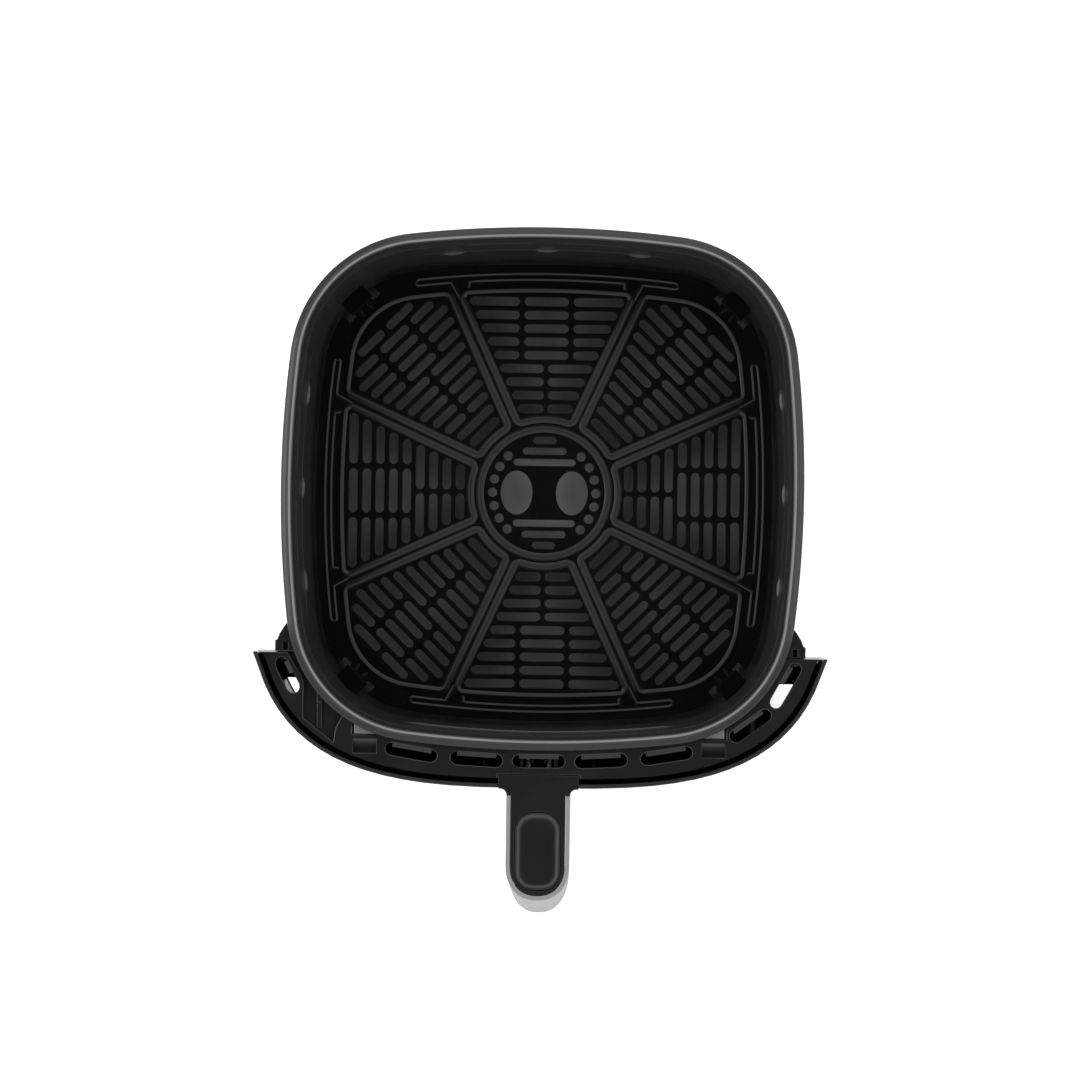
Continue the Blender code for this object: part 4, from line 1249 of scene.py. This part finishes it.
@dataclass
class Front:
    """The moulded frame, the fascia, the guides, the brackets and the switch tab."""

    catalogue: Catalogue
    shelf_top: float
    half: float = 140.4 * MM
    reach: float = 116.1 * MM
    middle_y: float = -27.0 * MM
    power: float = 3.164
    slots: tuple[tuple[float, float, float, float, float, int, int], ...] = (
        (0.0, -130.0, 25.0, 6.0, 0.0, -1, 1), (29.8, -129.5, 25.0, 6.2, 3.4, -1, 1),
        (-29.8, -129.5, 25.0, 6.2, -3.4, -1, 1), (61.0, -126.6, 25.0, 6.0, 9.4, -1, 1),
        (-61.0, -126.6, 25.0, 6.0, -9.4, -1, 1), (100.9, -111.7, 23.0, 6.2, 36.0, -1, 1),
        (117.4, -92.4, 24.0, 5.9, 60.9, 0, 1), (-120.6, -90.5, 18.7, 6.2, -63.8, -1, 0))
    hole_span: Point2 = (77.6 * MM, 89.0 * MM)
    hole_rows: Point2 = (-127.3 * MM, -124.2 * MM)
    hole_depth: float = 3.0 * MM
    seal_insets: Point2 = (1.6 * MM, 5.2 * MM)
    seal_levels: Point2 = (59.4 * MM, 62.2 * MM)
    seal_start: float = 13.0 * MM
    seal_end: float = -79.6 * MM

    def inset_of(self, place: Vector) -> float:
        """How far a point lies inside the front's outline, seen from above.

        Args:
            place: The point.

        Returns:
            The inset of the outline that passes through the point.
        """
        low, high = -2 * MM, 20 * MM
        for _ in range(20):
            guess = (low + high) / 2
            value = (abs(place.x) / (self.half - guess)) ** self.power
            value += (abs(place.y - self.middle_y) / (self.reach - guess)) ** self.power
            low, high = (low, guess) if value > 1 else (guess, high)
        return low

    def edge_run(self, inset: float, side: Side) -> Loop:
        """The front's outline on one side, drawn in by an inset, from the handle to the end.

        Args:
            inset: How far the outline is drawn in.
            side: The side of the handle.

        Returns:
            The run's points.
        """
        run = []
        for step in range(121):
            a = math.radians(90 * step / 120)
            x = (self.half - inset) * math.sin(a) ** (2 / self.power)
            y = self.middle_y - (self.reach - inset) * max(math.cos(a), 0.0) ** (2 / self.power)
            run.append((side.value * x, y))
        return [p for p in run if abs(p[0]) > self.seal_start and p[1] < self.seal_end]

    def gap_seals(self) -> list[Obj]:
        """The ribs that close the gap to the fascia below, one on each side of the handle.

        Returns:
            The ribs.
        """
        made = []
        for side in Side:
            outer, inner = (self.edge_run(inset, side) for inset in self.seal_insets)
            made.append(Bench.flat("gap_seal", [outer + list(reversed(inner))], *self.seal_levels))
        return made

    def linings(self) -> list[Obj]:
        """The slanted strip along the pan's side of each slot, and the floors of the square holes.

        Returns:
            The strips and the floors.
        """
        made = []
        for x, y, length, width, degrees, start, end in self.slots:
            near, far, top = width / 2 * MM + 0.1 * MM, (width / 2 - 2.0) * MM, -0.6 * MM
            profile = [(near, top), (far, top - 0.45 * MM), (far, top - 1.1 * MM), (near, top - 0.9 * MM)]
            reach = (length - width) / 2 * MM
            strip = Bench.flat("slot_lining", [profile], start * reach, end * reach)
            a = math.radians(degrees)
            along, across = Vector((math.cos(a), math.sin(a), 0)), Vector((-math.sin(a), math.cos(a), 0))
            turn = Matrix((across, (0, 0, 1), along)).transposed().to_4x4()
            Bench.place(strip, Matrix.Translation((x * MM, y * MM, self.shelf_top)) @ turn)
            Bench.weld(strip)
            made.append(strip)
        for side in Side:
            near, far = side.value * self.hole_span[0], side.value * self.hole_span[1]
            low, high = self.hole_rows
            loop = [(near, low), (far, low), (far, high), (near, high)]
            level = self.shelf_top - self.hole_depth
            made.append(Bench.flat("hole_floor", [loop], level - 0.6 * MM, level))
        return made

    def build(self) -> None:
        """Soften the edges of each moulding and pressing and dress it."""
        level = self.shelf_top

        def at_top(edge: Edge) -> bool:
            """Whether an edge lies on the level of the shelf's top."""
            return all(abs(v.co.z - level) < 0.05 * MM for v in edge.verts)

        def inside(edge: Edge) -> bool:
            """Whether a top edge lies inside the front's rim."""
            return at_top(edge) and any(self.inset_of(v.co) > 5.2 * MM for v in edge.verts)

        def outermost(edge: Edge) -> bool:
            """Whether a top edge lies on the front's outline."""
            return at_top(edge) and all(self.inset_of(v.co) < 0.9 * MM for v in edge.verts)

        def anywhere(edge: Edge) -> bool:
            """Whether an edge is long enough to be softened."""
            return edge.calc_length() > 0.9 * MM

        frame = Bench.softened("front_frame", "frame_moulding", 0.4 * MM, inside)
        extras = self.linings() + self.gap_seals()
        for extra in extras:
            Bench.smooth(extra, MOULDED)
        frame = Bench.join(frame, extras)
        self.catalogue.dress(frame, Slot.PLASTIC, "front_frame")
        fascia = Bench.softened("fascia", "fascia_skin", 0.45 * MM, outermost, 3,
                                Vector((0.0, self.middle_y, self.shelf_top / 2)))
        self.catalogue.dress(fascia, Slot.FASCIA, "fascia")
        for side in ("left", "right"):
            guide = Bench.softened("side_guide_" + side, "guide_post_" + side, 0.4 * MM, at_top)
            self.catalogue.dress(guide, Slot.PLASTIC, "side_guide_" + side)
            strap = Bench.softened("pan_bracket_" + side, "bracket_strap_" + side, 0.25 * MM, anywhere)
            self.catalogue.dress(strap, Slot.STEEL, "pan_bracket_" + side)
        tab = Bench.softened("interlock_tab", "switch_tab", 0.25 * MM, anywhere)
        self.catalogue.dress(tab, Slot.PLASTIC, "interlock_tab")
        plate = Bench.softened("handle_plate", "clamp_plate", 0.2 * MM, lambda edge: False)
        self.catalogue.dress(plate, Slot.STEEL, "handle_plate")


# --- Handle -----------------------------------------------------------------------------------------------


@dataclass
class Handle:
    """The silver shell, the grip inside it, the T-shaped top and its thumb rest."""

    catalogue: Catalogue
    top: float
    bottom: float
    plan: HandlePlan = field(default_factory=HandlePlan)
    wall: float = 2.0 * MM
    gap: float = 0.3 * MM
    insert_thick: float = 3.7 * MM
    pad_half: float = 11.3 * MM
    pad_front: float = -192.0 * MM
    pad_back: float = -154.3 * MM
    pad_corner: float = 9.0 * MM

    def spread(self, piece: Obj) -> None:
        """Let a piece grow towards the front as it goes down.

        Args:
            piece: The piece.
        """
        for vertex in piece.data.vertices:
            down = (self.top - vertex.co.z) / (self.top - self.bottom)
            if vertex.co.y < self.plan.back:
                factor = 1 + (self.plan.spread - 1) * down
                vertex.co.y = self.plan.back + (vertex.co.y - self.plan.back) * factor

    def window(self) -> Obj:
        """The space for the fingers, as a cutter.

        Returns:
            The cutter.
        """
        low, high = self.bottom + 13.5 * MM, self.top - 17.0 * MM
        radius = 8 * MM
        back = -148.1 * MM
        loop = [(back, low)] + arc((-186 * MM + radius, low + radius), radius, 270, 170, 10)
        loop += arc((-175 * MM + radius, high - radius), radius, 170, 90, 10) + [(back, high)]
        made = Bench.flat("window", [loop], -30 * MM, 30 * MM)
        Bench.place(made, Matrix(((0, 0, 1, 0), (1, 0, 0, 0), (0, 1, 0, 0), (0, 0, 0, 1))))
        Bench.weld(made)
        return made

    def build_shell(self) -> None:
        """Model the silver shell and dress it."""
        outer = self.plan.outline(0.0, self.plan.back)
        inner = self.plan.outline(self.wall, self.plan.back)
        shell = Bench.flat("shell_skin", [outer + list(reversed(inner))], self.bottom, self.top)
        self.spread(shell)
        window = self.window()
        Bench.modify(shell, "BOOLEAN", operation="DIFFERENCE", solver="EXACT", object=window)
        bpy.data.objects.remove(window)
        Bench.modify(shell, "BEVEL", width=0.35 * MM, segments=2, limit_method="ANGLE",
                     angle_limit=math.radians(50))
        Bench.smooth(shell, 40)
        self.catalogue.dress(shell, Slot.TRIM, "handle_shell")

    def build_core(self) -> None:
        """Soften the grip's edges and dress it."""
        core = Bench.softened("handle_core", "grip_core", 0.4 * MM, lambda edge: False)
        self.catalogue.dress(core, Slot.PLASTIC, "handle_core")

    def pad_outline(self, inset: float) -> Loop:
        """The thumb rest's outline, drawn in by an inset.

        Args:
            inset: How far the outline is drawn in.

        Returns:
            The outline's points.
        """
        x, front, back = self.pad_half - inset, self.pad_front + inset, self.pad_back - inset
        corner = max(self.pad_corner - inset, 1.5 * MM)
        loop = arc((x - corner, back - corner), corner, 0, 90, 12)
        loop += arc((-x + corner, back - corner), corner, 90, 180, 12)
        loop += arc((-x + corner, front + corner), corner, 180, 270, 12)
        loop += arc((x - corner, front + corner), corner, 270, 360, 12)
        return loop

    def build_top(self) -> None:
        """Model the T-shaped insert and the dished thumb rest, and dress them."""
        plan = self.plan.half_outline(self.wall + self.gap, -147.0 * MM)
        half = [(19.2 * MM, -136.8 * MM), (19.2 * MM, -143.4 * MM)]
        half += arc((18.2 * MM, -146.4 * MM), 3.0 * MM, 90, 180, 10)
        half += [(plan[0][0], -146.4 * MM)] + plan[1:]
        loop = half + [(-x, y) for x, y in reversed(half[:-1])]
        loops = [loop, self.pad_outline(0.0)]
        insert = Bench.flat("handle_top", loops, self.top - 1.9 * MM, self.top, 0.18 * MM, 2)
        base = Bench.flat("handle_top_base", [loop], self.top - self.insert_thick, self.top - 1.85 * MM)
        insert = Bench.join(insert, [base])
        Bench.smooth(insert, 40)
        self.catalogue.dress(insert, Slot.PLASTIC, "handle_top_insert")
        sections = ((0.5, -1.75), (0.32, -1.5), (0.32, -0.75), (0.42, -0.45), (0.7, -0.26), (1.1, -0.24),
                    (1.6, -0.42), (2.2, -0.72), (3.0, -0.96), (4.2, -1.08), (5.5, -1.12), (7.0, -1.14))
        rings = [[Vector((x, y, self.top + z * MM)) for x, y in self.pad_outline(inset * MM)]
                 for inset, z in sections]
        pad = Bench.loft("thumb_rest", rings)
        Bench.smooth(pad, 50)
        self.catalogue.dress(pad, Slot.SOFT, "thumb_pad")


# --- Screws -----------------------------------------------------------------------------------------------


@dataclass
class Screws:
    """The pan-head screws, one modelled for each packed screw and put in its place."""

    catalogue: Catalogue
    groups: tuple[tuple[str, tuple[str, ...]], ...] = (
        ("handle_screw_", ("upper_left", "upper_right", "lower_left", "lower_right")),
        ("fascia_screw_", ("inner_left", "inner_right", "outer_left", "outer_right")),
        ("bracket_screw_", ("left", "right")),
        ("guide_screw_", ("left", "right")),
    )
    directions: dict[str, tuple[int, int, int]] = field(
        default_factory=lambda: {"handle": (0, 1, 0), "bracket": (0, 0, 1), "guide": (0, 1, 0)})

    def axis_of(self, node: str) -> tuple[Vector, Vector, float, float, float]:
        """A packed screw's head centre, its direction, length, head radius and shank radius.

        Args:
            node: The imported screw's name.

        Returns:
            The head's centre, the direction to the tip, the length, and the head's and shank's radii.
        """
        points = [v.co.copy() for v in bpy.data.objects[node].data.vertices]
        centre = sum(points, Vector()) / len(points)
        kind = node.split("_")[0]
        along = Vector(self.directions[kind]) if kind in self.directions else self._best_axis(points, centre)
        line = [(p - centre).dot(along) for p in points]
        low, high = min(line), max(line)
        wide = [((p - centre) - along * t).length for p, t in zip(points, line)]
        head_low = max(w for w, t in zip(wide, line) if t < low + 1.0 * MM)
        head_high = max(w for w, t in zip(wide, line) if t > high - 1.0 * MM)
        middle = sum((p - along * t for p, t in zip(points, line)), Vector()) / len(points)
        if head_low > head_high:
            return middle + along * low, along, high - low, head_low, head_high
        return middle + along * high, -along, high - low, head_high, head_low

    @staticmethod
    def _best_axis(points: Sequence[Vector], centre: Vector) -> Vector:
        """The level direction about which the points lie closest to a round form.

        Args:
            points: The screw's vertices.
            centre: Their middle.

        Returns:
            The direction.
        """
        best, score = Vector((1, 0, 0)), 1e9
        for step in range(720):
            a = math.pi * step / 720
            along = Vector((math.cos(a), math.sin(a), 0))
            across = Vector((-along.y, along.x, 0))
            side = [(p - centre).dot(across) for p in points]
            lopsided = abs(max(side) + min(side)) + (max(side) - min(side))
            if lopsided < score:
                best, score = along, lopsided
        return best

    def model(self, length: float, head: float, shank: float) -> Obj:
        """One screw along +Z with its head at the origin.

        Args:
            length: From the top of the head to the tip.
            head: The head's radius.
            shank: The shank's radius.

        Returns:
            The screw.
        """
        height = head * 0.62
        outline = [(0.0, 0.0), (head * 0.45, 0.0), (head * 0.75, height * 0.08), (head * 0.93, height * 0.3),
                   (head, height * 0.62), (head, height), (shank * 0.92, height)]
        z, pitch = height + 0.6 * MM, 0.7 * MM
        while z < length - 2.2 * MM:
            outline += [(shank * 0.78, z), (shank * 0.78, z + 0.2 * pitch), (shank, z + 0.5 * pitch)]
            z += pitch
        outline += [(shank * 0.78, length - 2.0 * MM), (shank * 0.35, length - 0.3 * MM), (0.0, length)]
        rings = []
        for radius, level in outline:
            rings.append([Vector((x, y, level)) for x, y in arc((0, 0), max(radius, 0.02 * MM), 0, 345, 23)])
        screw = Bench.loft("screw", rings)
        bars = [stadium(0, 0, head * 1.15, head * 0.26, turn, 4) for turn in (0, 90)]
        arms = [Bench.flat("recess", [bar], -0.5 * MM, height * 0.62) for bar in bars]
        for arm in arms:
            Bench.modify(screw, "BOOLEAN", operation="DIFFERENCE", solver="EXACT", object=arm)
            bpy.data.objects.remove(arm)
        Bench.smooth(screw, 35)
        return screw

    def build(self) -> None:
        """Model a screw for each packed one and dress it."""
        for stem, words in self.groups:
            for word in words:
                start, along, length, head, shank = self.axis_of(stem + word)
                screw = self.model(length, head * 0.985, shank)
                screw.name = screw.data.name = stem + word + "_metal"
                turn = along.to_track_quat("Z", "Y").to_matrix().to_4x4()
                Bench.place(screw, Matrix.Translation(start) @ turn)
                self.catalogue.dress(screw, Slot.STEEL, stem + word)


# --- Studio ---------------------------------------------------------------------------------------------


@dataclass
class Studio:
    """A pale floor, a soft surround that is dark overhead, four softboxes and the camera."""

    rim: float
    stand_x: float = 17.5 * MM
    stand_y: float = -40.8 * MM
    stand_height: float = 1600 * MM
    roll: float = 0.82
    lens: float = 112.0
    surround: float = 4.0
    sky: tuple[Point2, ...] = ((0.0, 0.6), (0.2, 0.5), (0.36, 0.2), (0.48, 0.2), (0.58, 0.44), (0.84, 0.44),
                               (0.93, 0.012), (1.0, 0.008))

    def floor(self) -> None:
        """Lay the floor."""
        bpy.ops.object.select_all(action="DESELECT")
        bpy.ops.mesh.primitive_plane_add(size=12.0, location=(0, 0, -0.0004))
        floor = bpy.context.active_object
        floor.name = "studio_floor"
        finish = bpy.data.materials.new("studio_white")
        finish.use_nodes = True
        shader = finish.node_tree.nodes["Principled BSDF"]
        shader.inputs["Base Color"].default_value = (0.86, 0.86, 0.86, 1)
        shader.inputs["Roughness"].default_value = 0.9
        shader.inputs["Emission Color"].default_value = (1, 1, 1, 1)
        shader.inputs["Emission Strength"].default_value = 0.6
        floor.data.materials.append(finish)

    def world(self) -> None:
        """Light the surround: bright at the horizon, white above it and dark straight overhead."""
        world = bpy.data.worlds.new("studio")
        bpy.context.scene.world = world
        world.use_nodes = True
        tree = world.node_tree
        background = tree.nodes["Background"]
        background.inputs["Strength"].default_value = self.surround
        place = add_node(tree, "TexCoord").outputs["Generated"]
        ramp = add_node(tree, "ValToRGB", {0: add_node(tree, "SeparateXYZ", {0: place}).outputs["Z"]})
        ramp.color_ramp.interpolation = "EASE"
        while len(ramp.color_ramp.elements) < len(self.sky):
            ramp.color_ramp.elements.new(0.5)
        for element, (height, level) in zip(ramp.color_ramp.elements, self.sky):
            element.position = height
            element.color = (level, level, level, 1.0)
        tree.links.new(ramp.outputs["Color"], background.inputs["Color"])

    def softbox(self, name: str, place: Vector, size: Point2, power: float) -> None:
        """Hang one softbox that points at the middle of the drawer.

        Args:
            name: The softbox's name.
            place: Where it hangs.
            size: Its width and height.
            power: Its power in watts.
        """
        data = bpy.data.lights.new(name, "AREA")
        data.shape = "RECTANGLE"
        data.size, data.size_y = size
        data.energy = power
        lamp = bpy.data.objects.new(name, data)
        bpy.context.scene.collection.objects.link(lamp)
        lamp.location = place
        lamp.rotation_mode = "QUATERNION"
        lamp.rotation_quaternion = (Vector((0, -0.03, 0.05)) - place).to_track_quat("-Z", "Y")

    def camera(self) -> None:
        """Hang the camera straight above, a little off the drawer's middle."""
        data = bpy.data.cameras.new("camera")
        data.lens = self.lens
        data.sensor_width = 36.0
        data.shift_x, data.shift_y = -0.0352, 0.0324
        camera = bpy.data.objects.new("camera", data)
        bpy.context.scene.collection.objects.link(camera)
        camera.location = (self.stand_x, self.stand_y, self.rim + self.stand_height)
        camera.rotation_euler = (0, 0, math.radians(self.roll))
        bpy.context.scene.camera = camera

    def build(self) -> None:
        """Set up the studio."""
        self.floor()
        self.world()
        self.softbox("softbox_left", Vector((-1.5, 0.1, 0.9)), (0.8, 0.5), 6.0)
        self.softbox("softbox_right", Vector((1.6, 0.0, 0.9)), (0.8, 0.5), 2.5)
        self.softbox("softbox_back", Vector((0.1, 1.6, 0.9)), (1.2, 0.4), 3.0)
        self.softbox("softbox_front", Vector((0.0, -1.7, 0.9)), (1.2, 0.4), 0.8)
        self.camera()
        view = bpy.context.scene.view_settings
        view.view_transform = "Standard"
        view.look = "None"


def main() -> None:
    """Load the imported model, build every sub-assembly on it and set up the studio."""
    logging.basicConfig(level=logging.INFO, format="%(name)s: %(message)s")
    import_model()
    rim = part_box("pan")[1].z
    plate_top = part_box("crisper_plate")[1].z
    shelf_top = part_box("front_frame")[1].z
    shell_low, shell_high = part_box("handle_shell")
    catalogue = Catalogue()
    Pan(catalogue, rim).build()
    plate = CrisperPlate(catalogue, plate_top)
    plate.build()
    plate.build_bumpers()
    Front(catalogue, shelf_top).build()
    handle = Handle(catalogue, shell_high.z, shell_low.z)
    handle.build_shell()
    handle.build_core()
    handle.build_top()
    Screws(catalogue).build()
    Studio(rim).build()
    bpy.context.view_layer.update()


if __name__ == "__main__":
    main()
